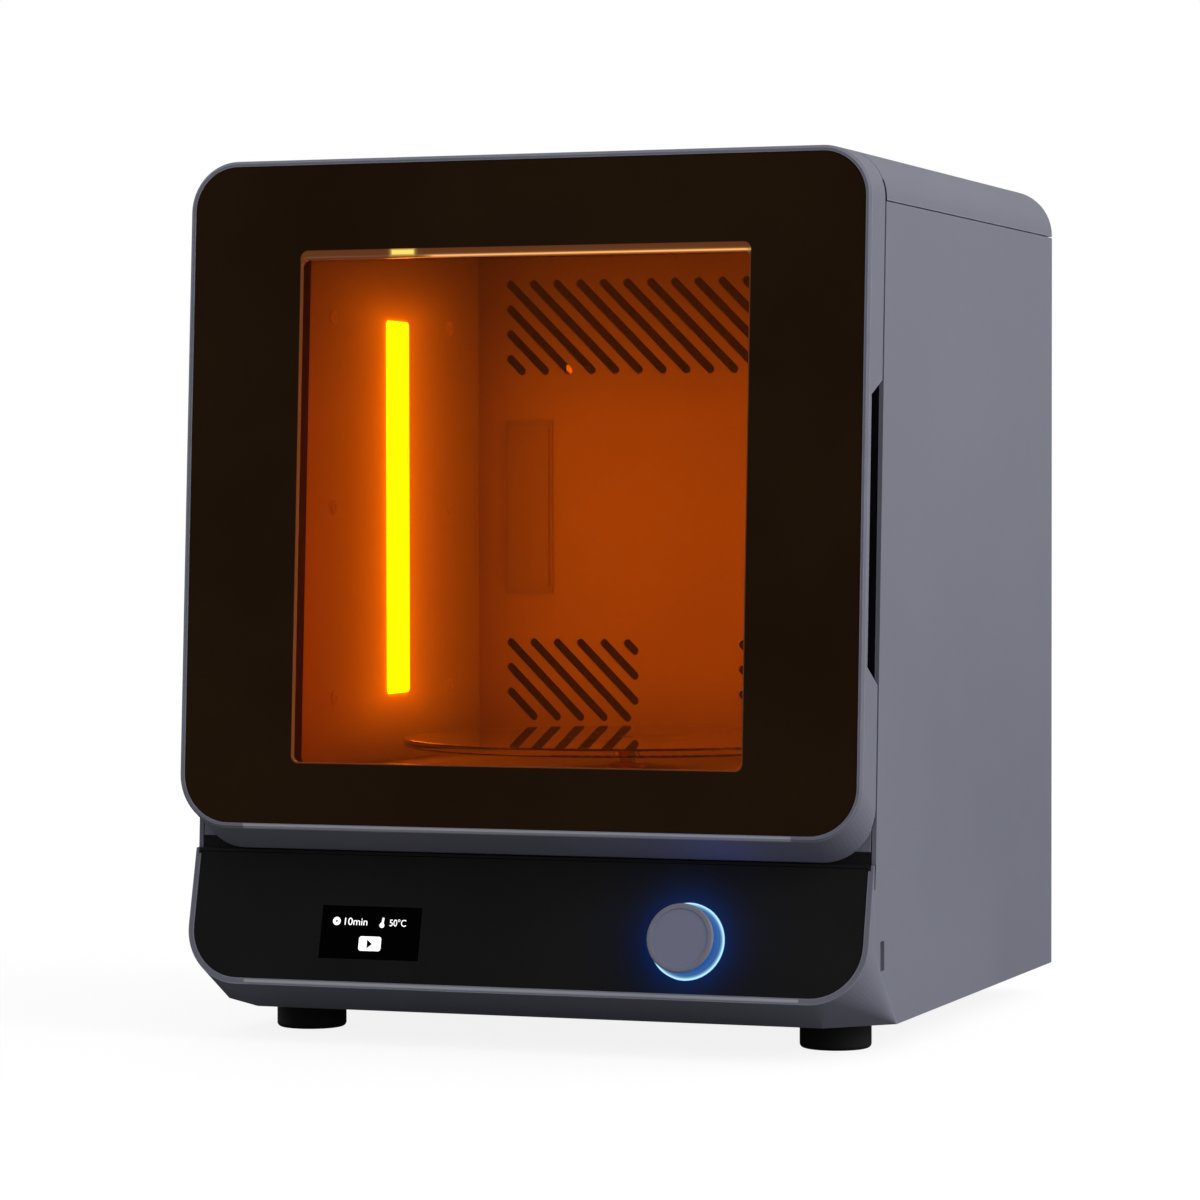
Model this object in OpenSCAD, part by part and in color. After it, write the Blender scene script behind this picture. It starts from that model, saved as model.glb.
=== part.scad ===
// Bench-top light curing unit for dental work: a grey cabinet with a leaning
// door and amber window, two lamp walls, a warm air duct behind a slotted
// rear wall, a clear turntable, and a slanted panel with a push knob.
// The origin is under the middle of the whole unit, on the floor.

/* [Cabinet] */
// Width over the side sheets
cab_w = 320; // [300:1:400]
// Height of the cabinet above its feet
cab_h = 382.5; // [370:0.5:460]
// Depth from the door's lower front edge to the back edge
cab_d = 334; // [330:1:400]
// Thickness of the side, base and rear sheets
sheet_t = 2; // [1.5:0.1:2.5]
// Wall of the moulded top cover
cover_t = 2.5; // [2:0.1:3.5]
// Radius of the two long top edges
top_r = 22.5; // [12:0.5:26]
// Open seam between the side sheets and the top cover
seam_gap = 0.6; // [0.3:0.1:1.2]
// Height of the folded edges of the base and side sheets
flange = 12; // [10:0.5:14]
// How far the rear panel lies inside the rear edge
rear_rim = 1.5; // [1.3:0.1:3]
// Backward lean of the door and of the cabinet's front, in degrees
lean = 3.3; // [0:0.1:5]
// Distance of the front frame's lowest front edge behind the door's edge
chin_in = 28.8; // [26:0.1:32]
// Distance of the front frame's rear lower edge behind the door's edge
toe_in = 55.3; // [50:0.1:60]
// Distance of the side sheets' front corner behind the door's edge
cheek_in = 17.5; // [15:0.1:20]
// Height of the side sheets' front corner above the base
cheek_up = 36; // [30:1:42]

/* [Feet] */
// Diameter of a rubber foot
foot_d = 32; // [24:1:36]
// Height of a rubber foot
foot_h = 13.5; // [11:0.5:20]
// Fillet at the bottom of a foot
foot_fillet = 2; // [1:0.5:4]
// Distance of the front feet's middles from the cabinet's sides
foot_front_in = 33.5; // [30:0.5:50]
// Distance of the rear feet's middles from the cabinet's sides
foot_rear_in = 48; // [30:0.5:70]
// Distance of the rear feet from the back edge
foot_rear_inset = 62; // [40:1:80]

/* [Door] */
// Height of the door's lower front edge above the floor
door_z = 96.5; // [95:0.5:100]
// Thickness of the door
door_t = 21.5; // [20.5:0.5:24]
// Gap between the door and the cabinet's front frame
door_gap = 1.4; // [0.8:0.1:2]
// How far the door's rear lower edge hangs under its front lower edge
door_drop = 9; // [6:0.5:9]
// Radius of the door's lower corners
door_low_r = 24; // [16:0.5:30]
// Width of the visible rim around the black front plate
rim_w = 2.7; // [2.2:0.1:5]
// Bevel on the outer front edge of the rim
rim_bevel = 1.2; // [0.5:0.1:1.8]
// Thickness of the black front plate
plate_t = 3; // [2:0.1:4]
// How far the black plates lie behind their rims
plate_set = 0.3; // [0.1:0.1:0.6]
// Thickness of the inner cover of the door
cover_in_t = 2.5; // [2:0.1:3.5]

/* [Window] */
// Distance of the clear window from the door's sides
win_in = 54; // [48:0.5:70]
// Height of the window's lower edge above the door's lower edge
win_up = 29.6; // [26:0.1:36]
// Distance of the window's upper edge under the door's top, along the door
win_down = 40.9; // [36:0.1:60]
// Corner radius of the window
win_r = 3.5; // [2:0.5:10]
// Thickness of the amber pane
pane_t = 5; // [3:0.5:6]
// How far the pane reaches past the window on each side
pane_lap = 6; // [4:0.5:8]
// Wall of the tube that lines the window behind the pane
win_wall = 3; // [2:0.5:3.5]
// How much wider than the window this tube is, on each side
tube_step = 3; // [0:0.5:3]

/* [Door grip] */
// Length of the finger recess on the door's free side
grip_len = 117; // [90:1:140]
// Height of the recess's middle above the door's lower edge
grip_mid = 134; // [120:1:150]
// Thickness of the door's edge that is left in front of the recess
grip_skin = 4.5; // [4:0.5:8]
// Depth of the recess, in from the side
grip_in = 13; // [10:0.5:14]

/* [Hinge] */
// Distance of the hinge axis from the cabinet's left side
hinge_in = 10.75; // [10:0.25:12]
// Depth of the hinge axis behind the door's front plane
hinge_deep = 9.5; // [9:0.5:10]
// Diameter of a hinge pin
pin_d = 4; // [3:0.5:5]
// Diameter of the eye on a hinge bracket
eye_d = 9; // [8:0.5:9.5]
// Height of the eye on a hinge bracket
eye_h = 12; // [8:1:16]
// Height of a hinge pocket in the door
hinge_h = 40; // [34:1:50]
// Height of the lower hinge's middle above the door's lower edge
hinge_low = 48; // [40:1:60]
// Distance of the upper hinge's middle under the door's top
hinge_top = 54; // [45:1:70]

/* [Chamber] */
// Room between the chamber's side walls and the cabinet's sides
side_room = 35; // [34:0.5:42]
// Height of the chamber's floor above the ground
cham_z = 117.5; // [114:0.5:120]
// Room between the chamber's ceiling and the cabinet's top
roof_room = 30.5; // [29:0.5:48]
// Room between the chamber's rear wall and the cabinet's back edge
rear_room = 48; // [46:0.5:56]
// Thickness of the chamber's liner sheets
liner_t = 1.5; // [1:0.1:2]
// Thickness of the front frame behind the door
bulk_t = 6; // [5:0.5:8]

/* [Grilles] */
// Width of a slanted air slot
slot_w = 4.4; // [2.5:0.1:4.8]
// Distance from slot to slot, along a row
slot_pitch = 12.5; // [9:0.5:16]
// Distance of the grilles from the chamber's side walls
grille_in = 15; // [11:0.5:30]
// Height of the upper grille
grille_up_h = 48; // [30:1:60]
// Distance of the upper grille under the chamber's ceiling
grille_up_drop = 11.5; // [8:0.5:20]
// Height of the two lower grilles
grille_low_h = 41.5; // [30:0.5:46]
// Height of the lower grilles above the chamber's floor
grille_low_up = 14.5; // [10:0.5:20]
// Width of the left lower grille
grille_left_w = 70.5; // [50:0.5:90]
// Width of the right lower grille
grille_right_w = 97; // [60:0.5:110]
// Width of the probe cover on the rear wall
probe_w = 25; // [18:1:30]
// Distance of the probe cover from the grilles over and under it
probe_gap = 22.5; // [8:0.5:40]
// How far the probe cover stands out of the rear wall
probe_out = 2.4; // [1.5:0.1:4]

/* [Lamps] */
// Height of a lens's lower end above the chamber's floor
lamp_low = 32.5; // [30:0.5:45]
// Distance of a lens's upper end under the chamber's ceiling
lamp_high = 36; // [33:0.5:48]
// Width of a lamp's lens
lamp_w = 26.5; // [24:0.5:34]
// Corner radius of a lamp's lens
lamp_r = 2.5; // [2.5:0.5:8]
// Distance of the lamps' middle in front of the chamber's rear wall
lamp_back = 109; // [104:1:116]
// How far a lens stands out of the chamber's wall
lamp_out = 1; // [0.5:0.5:3]
// Distance from a chamber wall to the lamp's heat sink
sink_gap = 9; // [8:0.5:10]
// Clearance between a heat sink's fins and the side sheet
fin_gap = 4.5; // [3:0.5:8]
// Number of fins on a heat sink
fin_n = 12; // [6:1:16]
// Rows of light chips on a lamp board
chip_rows = 15; // [8:1:18]

/* [Turntable] */
// Clearance between the clear turntable and the chamber's rear wall
table_back = 24.7; // [20:0.1:34]
// Distance from the door's lower front edge to the turntable's edge
table_front = 51.3; // [48:0.1:60]
// Thickness of the turntable
table_t = 4; // [3:0.5:5]
// Clear height under the turntable
table_up = 10.3; // [8:0.1:12]
// Diameter of the turntable's spindle
spin_d = 8; // [6:0.5:10]

/* [Control panel] */
// Backward slant of the control panel, in degrees
panel_slant = 14.2; // [10:0.1:16]
// Height of the black control plate, along its slant
panel_h = 57; // [54:0.5:57.5]
// Height of the control plate's lower edge above the floor
panel_z = 29.1; // [28:0.1:30]
// Distance of the control plate's lower edge behind the door's front edge
panel_in = 5.2; // [4:0.1:6]
// Radius of the control plate's lower corners
panel_r = 23; // [16:0.5:24]
// Width of the display
disp_w = 47.5; // [40:0.5:52]
// Height of the display
disp_h = 23.5; // [20:0.5:26]
// Distance of the display's middle from the cabinet's left side
disp_in = 88.8; // [84:0.1:100]
// Height of the display's middle above the plate's lower edge
disp_up = 22; // [21:0.5:25]

/* [Knob] */
// Distance of the knob's axis from the cabinet's right side
knob_in = 82.2; // [72:0.1:90]
// Height of the knob's axis above the plate's lower edge
knob_up = 22.9; // [22:0.1:25]
// Diameter of the knob
knob_d = 30.5; // [24:0.5:33]
// How far the knob's face stands out of the panel
knob_out = 10.5; // [9.5:0.5:16]
// Diameter of the light ring round the knob
ring_d = 34; // [33.5:0.5:38]
// Gap under the knob
knob_gap = 1.4; // [1.2:0.1:2.5]
// Diameter of the knob's shaft
shaft_d = 6; // [5:0.5:6]
// Radius on the knob's front edge
knob_fillet = 1; // [0.5:0.1:1.5]

/* [Rear] */
// Diameter of the exhaust fan's rotor
fan_d = 74; // [60:1:76]
// Side of the exhaust fan's frame
fan_w = 80; // [80:1:88]
// Depth of the exhaust fan's frame
fan_t = 25; // [20:1:30]
// Distance of the exhaust fan's axis from the cabinet's right side
fan_in = 70; // [62:1:84]
// Height of the fan's axis above the floor
fan_z = 64; // [60:1:68]
// Distance of the power inlet's middle from the cabinet's left side
inlet_in = 100; // [84:1:118]
// Distance of the power switch's middle from the cabinet's left side
switch_in = 46; // [34:1:52]
// Height of the power inlet and switch above the floor
inlet_z = 46; // [40:1:60]
// Width of the gap between rings of the fan's guard
guard_gap = 3.4; // [2.5:0.1:3.8]

/* [Side port] */
// Height of the port on the right side sheet
port_h = 13; // [10:0.1:13.4]
// Width of the port
port_w = 6.2; // [5:0.1:7]
// Distance of the port's middle behind the door's lower front edge
port_y = 32; // [31:0.5:40]
// Height of the port's middle above the floor
port_z = 45.5; // [45:0.5:60]

/* [Fits] */
// Radial clearance of a turning or sliding fit
run_fit = 0.05; // [0.02:0.01:0.1]
// Clearance round plates that lie in a pocket
lay_fit = 0.2; // [0.1:0.05:0.3]
// Radial clearance of a screw in its hole
screw_fit = 0.05; // [0.02:0.01:0.15]

/* [Hidden] */
$fn = 64;
cut = 1;        // overshoot of every cutting solid
far = 600;      // larger than the cabinet, for half spaces

half_w = cab_w / 2;
in_w = half_w - sheet_t;              // inner face of a side sheet
base_z = foot_h;
base_top = base_z + sheet_t;
top_z = foot_h + cab_h;
seam_z = top_z - top_r - 0.5;
roof_z = top_z - cover_t;             // inner face of the top cover

// The knob is the foremost point, so it sets where the middle lies.
knob_r = knob_d / 2;
knob_ahead = (knob_out - knob_fillet) * cos(panel_slant) + knob_fillet
  - (knob_up - knob_r + knob_fillet) * sin(panel_slant) - panel_in;
all_d = cab_d + max(0, knob_ahead);
front_y = all_d / 2 - cab_d;          // the door's lower front edge
back_y = all_d / 2;
rear_y1 = back_y - rear_rim;          // outer face of the rear panel
rear_y0 = rear_y1 - sheet_t;

door_len = (top_z - door_z) / cos(lean);
frame_d = door_t + door_gap;          // depth of the front frame's face
frame_back = frame_d + bulk_t;
ledge_z = door_z - door_drop - 1.5;   // top of the frame under the door
toe_y = front_y + toe_in;
chin_y = front_y + chin_in;
cheek = [front_y + cheek_in, base_z + cheek_up];
panel_y = front_y + panel_in;
panel_low = 3;                        // rim under the control plate
disp_x = half_w - disp_in;
knob_x = half_w - knob_in;

win_w = cab_w - 2 * win_in;
win_h = door_len - win_up - win_down;

floor_z = cham_z;
ceil_z = top_z - roof_room;
cham_h = ceil_z - floor_z;
wall_x = half_w - side_room;          // inner face of a chamber wall
wall_x1 = wall_x + liner_t;
cham_w = 2 * wall_x;
cham_y = back_y - rear_room;          // front face of the rear wall
duct_y = cham_y + liner_t;            // where the air duct starts
duct_gap = 13;                        // from the duct to the rear panel
duct_t = 1;
grille_w = cham_w - 2 * grille_in;
lamp_h = cham_h - lamp_low - lamp_high;
lamp_yc = cham_y - lamp_back;
lamp_zc = floor_z + lamp_low + lamp_h / 2;
table_d = cham_y - table_back - front_y - table_front;
table_yc = front_y + table_front + table_d / 2;
table_z = floor_z + table_up;         // underside of the turntable

screw_r = 2;                          // shank of the case screws
head_r = 3.5;
head_h = 1.2;
small_r = 1.5;                        // screws of the door's inner cover
small_head_r = 3;
hinge_at = [hinge_low, door_len - hinge_top];
hinge_r = door_t - hinge_deep;        // sweep of the door's rear left edge
hinge_x = hinge_in - half_w;
leaf_d = frame_d + head_h;            // front face of a hinge leaf
leaf_t = 2;
leaf_w = 26;
leaf_h = 34;
leaf_x = hinge_x - 4;                 // left edge of a hinge leaf
leaf_screw_x = leaf_x + leaf_w - 5;
leaf_screw_z = leaf_h / 2 - 6;        // screws from a leaf's middle
web_w = 5;                            // web between a leaf and its eye

strip_l = 26;                         // solid strips beside the door's hollow
strip_r = grip_in + 4;
plate_back = plate_set + plate_t;     // rear face of the door's black plate
pane_back = plate_back + pane_t;
magnet_r = 5;
magnet_t = 4;
strike_t = 1.5;
magnet_x = half_w - 8.5;
magnet_at = [36, door_len - 40];

// y of the plane that lies at a depth behind the door's front, at height z
function front_at(z, depth) =
  front_y + (z - door_z) * tan(lean) + depth / cos(lean);
// height along the door of a point at height z and a depth
function up_at(z, depth) =
  (z - door_z + depth * sin(lean)) / cos(lean);

// Places a child in the leaning frame of the door.
module on_door() {
  translate([0, front_y, door_z]) rotate([-lean, 0, 0]) children();
}
// Places a child in the slanted frame of the control plate.
module on_panel() {
  translate([0, panel_y, panel_z]) rotate([-panel_slant, 0, 0]) children();
}
// Extrudes an outline in x and z from depth y0 to y1.
module along_y(y0, y1) {
  translate([0, y1, 0]) rotate([90, 0, 0]) linear_extrude(y1 - y0) children();
}
// Extrudes an outline in y and z from x0 to x1.
module along_x(x0, x1) {
  translate([x0, 0, 0]) rotate([90, 0, 90]) linear_extrude(x1 - x0) children();
}
// Round bar along y, seen from the front.
module rod_y(x, z, r, y0, y1) {
  along_y(y0, y1) translate([x, z]) circle(r);
}
// Round bar along z.
module rod_z(x, y, r, z0, z1) {
  translate([x, y, z0]) cylinder(r = r, h = z1 - z0);
}
// Round bar along x.
module rod_x(y, z, r, x0, x1) {
  translate([x0, y, z]) rotate([0, 90, 0]) cylinder(r = r, h = x1 - x0);
}
// Mirrored pair, to the left and right of the middle plane.
module both_sides() {
  children();
  mirror([1, 0, 0]) children();
}
// Rectangle with four round corners, from its lower left corner.
module round_rect(x, z, w, h, r) {
  translate([x + r, z]) square([w - 2 * r, h]);
  translate([x, z + r]) square([w, h - 2 * r]);
  for (cx = [x + r, x + w - r]) for (cz = [z + r, z + h - r])
    translate([cx, cz]) circle(r);
}
// Rectangle on the middle plane with its own top and bottom radii.
module tall_rect(hw, z0, z1, r_low, r_top) {
  mid = (z0 + z1) / 2;
  difference() {
    translate([-hw, z0]) square([2 * hw, z1 - z0]);
    for (s = [-1, 1]) {
      if (r_low > 0)
        corner_cut(s * (hw - r_low), z0 + r_low, r_low, s, -1);
      if (r_top > 0)
        corner_cut(s * (hw - r_top), z1 - r_top, r_top, s, 1);
    }
  }
}
// What lies outside a quarter circle, to cut a corner round.
module corner_cut(x, z, r, sx, sz) {
  difference() {
    translate([x + (sx < 0 ? -r - cut : 0), z + (sz < 0 ? -r - cut : 0)])
      square(r + cut);
    translate([x, z]) circle(r);
  }
}
// Pan head screw with its head's underside at the origin, shank along -z.
module pan_screw(r, hr, hh, len) {
  cylinder(r = hr, h = hh);
  translate([0, 0, -len]) cylinder(r = r, h = len);
}

// Cabinet

foot_places = [
  for (s = [-1, 1]) [s * (half_w - foot_front_in), toe_y + foot_d / 2 + 2],
  for (s = [-1, 1]) [s * (half_w - foot_rear_in), back_y - foot_rear_inset]
];
foot_screw_z = 8;                     // underside of a foot screw's head

module rubber_feet() {
  color("#16171a") for (p = foot_places) translate(p) difference() {
    rotate_extrude() {
      square([foot_d / 2 - foot_fillet, foot_h]);
      translate([0, foot_fillet]) square([foot_d / 2, foot_h - foot_fillet]);
      translate([foot_d / 2 - foot_fillet, foot_fillet]) circle(foot_fillet);
    }
    translate([0, 0, -cut]) cylinder(r = 6, h = foot_screw_z + cut);
    cylinder(r = screw_r + screw_fit, h = foot_h + cut);
  }
}

module foot_screws() {
  color("#b9bcc2") for (p = foot_places)
    translate([p[0], p[1], foot_screw_z]) mirror([0, 0, 1])
      pan_screw(screw_r, 4, 2.5, foot_h - foot_screw_z + sheet_t + 1.5);
}

board_w = 112;                        // main board in the base
board_d = 96;
board_in = 18;                        // from the board to the side sheet
board_x = in_w - board_in - board_w;
board_y = toe_y + 49.7;
board_up = 8;
stud_in = 5;                          // studs from the board's edges
stud_r = 3.2;
board_holes = [for (x = [stud_in, board_w - stud_in])
  for (y = [stud_in, board_d - stud_in]) [board_x + x, board_y + y]];
post_r = 5;                           // posts that carry the chamber
post_in = 8;
post_front = toe_y + 28.7;
post_rear = cham_y - 22;
post_places = [for (s = [-1, 1]) for (y = [post_front, post_rear])
  [s * (wall_x - post_in), y]];
vent_rows = 9;
vent_step = 9;
vent_len = 60;
vent_y = toe_y + 62.7;

rear_fold_x = -in_w + flange + 4;     // where the base's rear fold starts

module base_plate() {
  color("#5e6167") {
    difference() {
      union() {
        translate([-in_w, toe_y, base_z])
          cube([2 * in_w, rear_y0 - toe_y, sheet_t]);
        both_sides() translate([in_w - sheet_t, toe_y + 6, base_z])
          cube([sheet_t, rear_y0 - toe_y - 12 - sheet_t, flange]);
        translate([rear_fold_x, rear_y0 - sheet_t, base_z])
          cube([fan_x - fan_w / 2 - 3 - rear_fold_x, sheet_t, flange]);
      }
      for (p = foot_places)
        rod_z(p[0], p[1], screw_r + screw_fit, base_z - cut, base_top + cut);
      for (i = [0 : vent_rows - 1])
        for (x = [psu_x + psu_w / 2, board_x + board_w / 2 - 14])
          translate([x - vent_len / 2, vent_y + i * vent_step, base_z - cut])
            linear_extrude(sheet_t + 2 * cut)
              round_rect(0, 0, vent_len, slot_w, slot_w / 2 - 0.01);
    }
    for (p = board_holes) difference() {
      rod_z(p[0], p[1], stud_r, base_top, base_top + board_up);
      rod_z(p[0], p[1], 1.4, base_top + 2, base_top + board_up + cut);
    }
  }
}

sheet_z = seam_z - seam_gap;          // upper edge of the side sheets
side_outline = [
  [front_at(sheet_z, frame_d), sheet_z],
  [front_at(ledge_z, frame_d), ledge_z],
  cheek, [toe_y, base_z], [back_y, base_z], [back_y, sheet_z]
];
rear_screw_x = in_w - 6;
rear_screw_z = [base_z + 24, (base_z + seam_z) / 2, seam_z - 24];

// A side sheet with the flange that carries the rear panel.
module side_sheet() {
  along_x(in_w, half_w) polygon(side_outline);
  difference() {
    translate([in_w - flange, rear_y0 - sheet_t, base_top])
      cube([flange, sheet_t, seam_z - base_top - 4]);
    for (z = rear_screw_z)
      rod_y(rear_screw_x, z, screw_r + screw_fit, rear_y0 - 9, rear_y0 + cut);
  }
}

port_yc = front_y + port_y;

module side_panel_left() {
  color("#84878f") mirror([1, 0, 0]) side_sheet();
}

module side_panel_right() {
  color("#84878f") difference() {
    side_sheet();
    translate([in_w - cut, port_yc - port_w / 2, port_z - port_h / 2])
      cube([sheet_t + 2 * cut, port_w, port_h]);
  }
}

module top_cover() {
  lip = cover_t;
  color("#84878f") {
    intersection() {
      along_y(front_y, back_y) difference() {
        tall_rect(half_w, seam_z, top_z, 0, top_r);
        tall_rect(half_w - cover_t, seam_z - cut, roof_z, 0, top_r - cover_t);
      }
      on_door() translate([-far, frame_d, -far]) cube(2 * far);
    }
    both_sides()
      translate([in_w - lip, front_at(seam_z, frame_back) + 3, seam_z - 8])
        cube([lip, rear_y0 - sheet_t - front_at(seam_z, frame_back) - 4, 14]);
  }
}

// Rear panel and what is fixed to it

guard_rings = 7;
guard_spoke = 4;
side_vent_n = 14;
side_vent_step = 9;
side_vent_x = wall_x1 + 5.5;
side_vent_w = in_w - flange - 1.5 - side_vent_x;
fan_x = half_w - fan_in;
inlet_x = half_w - inlet_in;
switch_x = half_w - switch_in;
inlet_hw = 14;                        // half sizes of the inlet's cut-out
inlet_hh = 10.5;
inlet_tab = 20;                       // middle of an inlet screw
switch_hw = 6.5;
switch_hh = 9.6;

// Ring slots with a cross of spokes, the finger guard of the fan.
module guard_slots() {
  step = (fan_d / 2 - 8) / guard_rings;
  difference() {
    for (i = [1 : guard_rings]) difference() {
      circle(8 + i * step);
      circle(8 + i * step - guard_gap);
    }
    for (a = [45, 135]) rotate(a)
      translate([-fan_w, -guard_spoke / 2]) square([2 * fan_w, guard_spoke]);
  }
}

fan_bolt = fan_w / 2 - 4.5;

module rear_panel() {
  color("#6c6f76") along_y(rear_y0, rear_y1) difference() {
    union() {
      tall_rect(in_w, base_z, seam_z - 9, 0, 0);
      tall_rect(min(half_w - cover_t, in_w), seam_z - 10, roof_z, 0,
        top_r - cover_t);
    }
    translate([fan_x, fan_z]) guard_slots();
    for (sx = [-1, 1]) for (sz = [-1, 1])
      translate([fan_x + sx * fan_bolt, fan_z + sz * fan_bolt])
        circle(screw_r + screw_fit);
    translate([-inlet_x - inlet_hw, inlet_z - inlet_hh])
      square([2 * inlet_hw, 2 * inlet_hh]);
    for (s = [-1, 1]) translate([-inlet_x + s * inlet_tab, inlet_z])
      circle(screw_r + screw_fit);
    translate([-switch_x - switch_hw, inlet_z - switch_hh])
      square([2 * switch_hw, 2 * switch_hh]);
    for (s = [-1, 1]) for (z = rear_screw_z)
      translate([s * rear_screw_x, z]) circle(screw_r + screw_fit);
    for (s = [0, 1]) mirror([s, 0]) for (i = [0 : side_vent_n - 1])
      round_rect(side_vent_x,
        lamp_zc + (i - (side_vent_n - 1) / 2) * side_vent_step,
        side_vent_w, slot_w, slot_w / 2 - 0.01);
  }
}

module case_screws() {
  color("#2a2b2e") {
    for (s = [-1, 1]) for (z = rear_screw_z)
      translate([s * rear_screw_x, rear_y1, z]) rotate([-90, 0, 0])
        pan_screw(screw_r, head_r, head_h, sheet_t + sheet_t + 3);
    for (sx = [-1, 1]) for (sz = [-1, 1])
      translate([fan_x + sx * fan_bolt, rear_y1, fan_z + sz * fan_bolt])
        rotate([-90, 0, 0]) pan_screw(screw_r, head_r, head_h, sheet_t + 8);
    for (h = hinge_at) for (dz = [-1, 1]) on_door()
      translate([leaf_screw_x, leaf_d, h + dz * leaf_screw_z])
        rotate([90, 0, 0])
          pan_screw(screw_r, head_r, head_h - 0.2, leaf_t + 2);
  }
}

inlet_deep = 16;                      // depth of the inlet's socket
inlet_face = [50, 25];
socket_hw = 12.3;                     // half sizes of the socket's mouth
socket_hh = 8.4;
socket_bevel = 4.85;
pin_w = 2;
pin_h = 4;
pin_step = 7;

module power_inlet() {
  face = rear_y1;
  color("#1b1c1f") {
    difference() {
      union() {
        along_y(face, face + head_h)
          round_rect(-inlet_x - inlet_face[0] / 2, inlet_z - inlet_face[1] / 2,
            inlet_face[0], inlet_face[1], 4);
        along_y(face - inlet_deep - 4, face + 0.01)
          round_rect(-inlet_x - inlet_hw + lay_fit,
            inlet_z - inlet_hh + lay_fit, 2 * (inlet_hw - lay_fit),
            2 * (inlet_hh - lay_fit), 2);
      }
      along_y(face - inlet_deep, face + head_h + cut)
        translate([-inlet_x, inlet_z])
          polygon([[-socket_hw, -socket_hh], [socket_hw, -socket_hh],
            [socket_hw, socket_hh - socket_bevel],
            [socket_hw - socket_bevel, socket_hh],
            [socket_bevel - socket_hw, socket_hh],
            [-socket_hw, socket_hh - socket_bevel]]);
      for (s = [-1, 1])
        rod_y(-inlet_x + s * inlet_tab, inlet_z, 1.7, face - cut,
          face + head_h + cut);
    }
    for (i = [-1 : 1]) translate([-inlet_x + i * pin_step - pin_w / 2,
        face - inlet_deep - 0.5, inlet_z + (i == 0 ? 0.5 : -5) - 0.5])
      cube([pin_w, inlet_deep - 3, pin_h]);
  }
}

rocker_t = 10;                        // width of the rocker
rocker_tilt = 9;
rocker_axis = 5;                      // its axis behind the panel's face
trunnion_r = 1.2;
well_d = 9;                           // hollow that the rocker lies in
well_h = 17;
switch_deep = 16;
bezel_w = 1.5;

module switch_body() {
  face = rear_y1;
  color("#202124") difference() {
    union() {
      along_y(face, face + head_h)
        round_rect(-switch_x - switch_hw - bezel_w,
          inlet_z - switch_hh - bezel_w, 2 * (switch_hw + bezel_w),
          2 * (switch_hh + bezel_w), bezel_w);
      along_y(face - switch_deep, face + 0.01)
        translate([-switch_x - switch_hw + lay_fit,
            inlet_z - switch_hh + lay_fit])
          square([2 * (switch_hw - lay_fit), 2 * (switch_hh - lay_fit)]);
    }
    along_y(face - well_d, face + head_h + cut)
      translate([-switch_x - rocker_t / 2 - 0.3, inlet_z - well_h / 2])
        square([rocker_t + 0.6, well_h]);
    rod_x(face - rocker_axis, inlet_z, trunnion_r + run_fit,
      -switch_x - rocker_t / 2 - 1, -switch_x + rocker_t / 2 + 1);
  }
}

module rocker() {
  color("#0f1011") translate([-switch_x, rear_y1 - rocker_axis, inlet_z])
    rotate([rocker_tilt, 0, 0]) {
      along_x(-rocker_t / 2, rocker_t / 2)
        polygon([[-2.2, -1.6], [1.5, -6.8], [4.9, -7], [3.6, 0], [4.9, 7],
          [1.5, 6.8], [-2.2, 1.6]]);
      rod_x(0, 0, trunnion_r, -rocker_t / 2 - 0.8, rocker_t / 2 + 0.8);
    }
}

fan_hub_r = 16;
arm_t = 4;                            // depth of the fan frame's arms
arm_w = 3;
bearing_r = 5;
bearing_d = 9;
fan_shaft_r = 1.5;
blade_n = 7;

module exhaust_fan_frame() {
  y1 = rear_y0;
  y0 = y1 - fan_t;
  color("#1d1e20") difference() {
    union() {
      along_y(y0, y1) difference() {
        round_rect(fan_x - fan_w / 2, fan_z - fan_w / 2, fan_w, fan_w, 4);
        translate([fan_x, fan_z]) circle(fan_d / 2 + 0.8);
      }
      along_y(y0, y0 + arm_t) translate([fan_x, fan_z]) {
        circle(fan_hub_r);
        for (a = [0 : 90 : 270]) rotate(a + 20)
          translate([0, -arm_w / 2]) square([fan_d / 2 + 2, arm_w]);
      }
      rod_y(fan_x, fan_z, bearing_r, y0, y0 + bearing_d);
    }
    rod_y(fan_x, fan_z, fan_shaft_r + run_fit, y0 + 1, y1);
    for (sx = [-1, 1]) for (sz = [-1, 1])
      rod_y(fan_x + sx * fan_bolt, fan_z + sz * fan_bolt,
        screw_r + screw_fit, y0 - cut, y1 + cut);
  }
}

rotor_gap = 2.5;                      // from the rotor to the rear panel
rotor_d = fan_t - 7;
blade_w = 18;
blade_t = 2;
blade_turn = 32;
cup_r = 5.6;                          // hollow of the hub round its bearing
cup_skin = 4;

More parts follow.
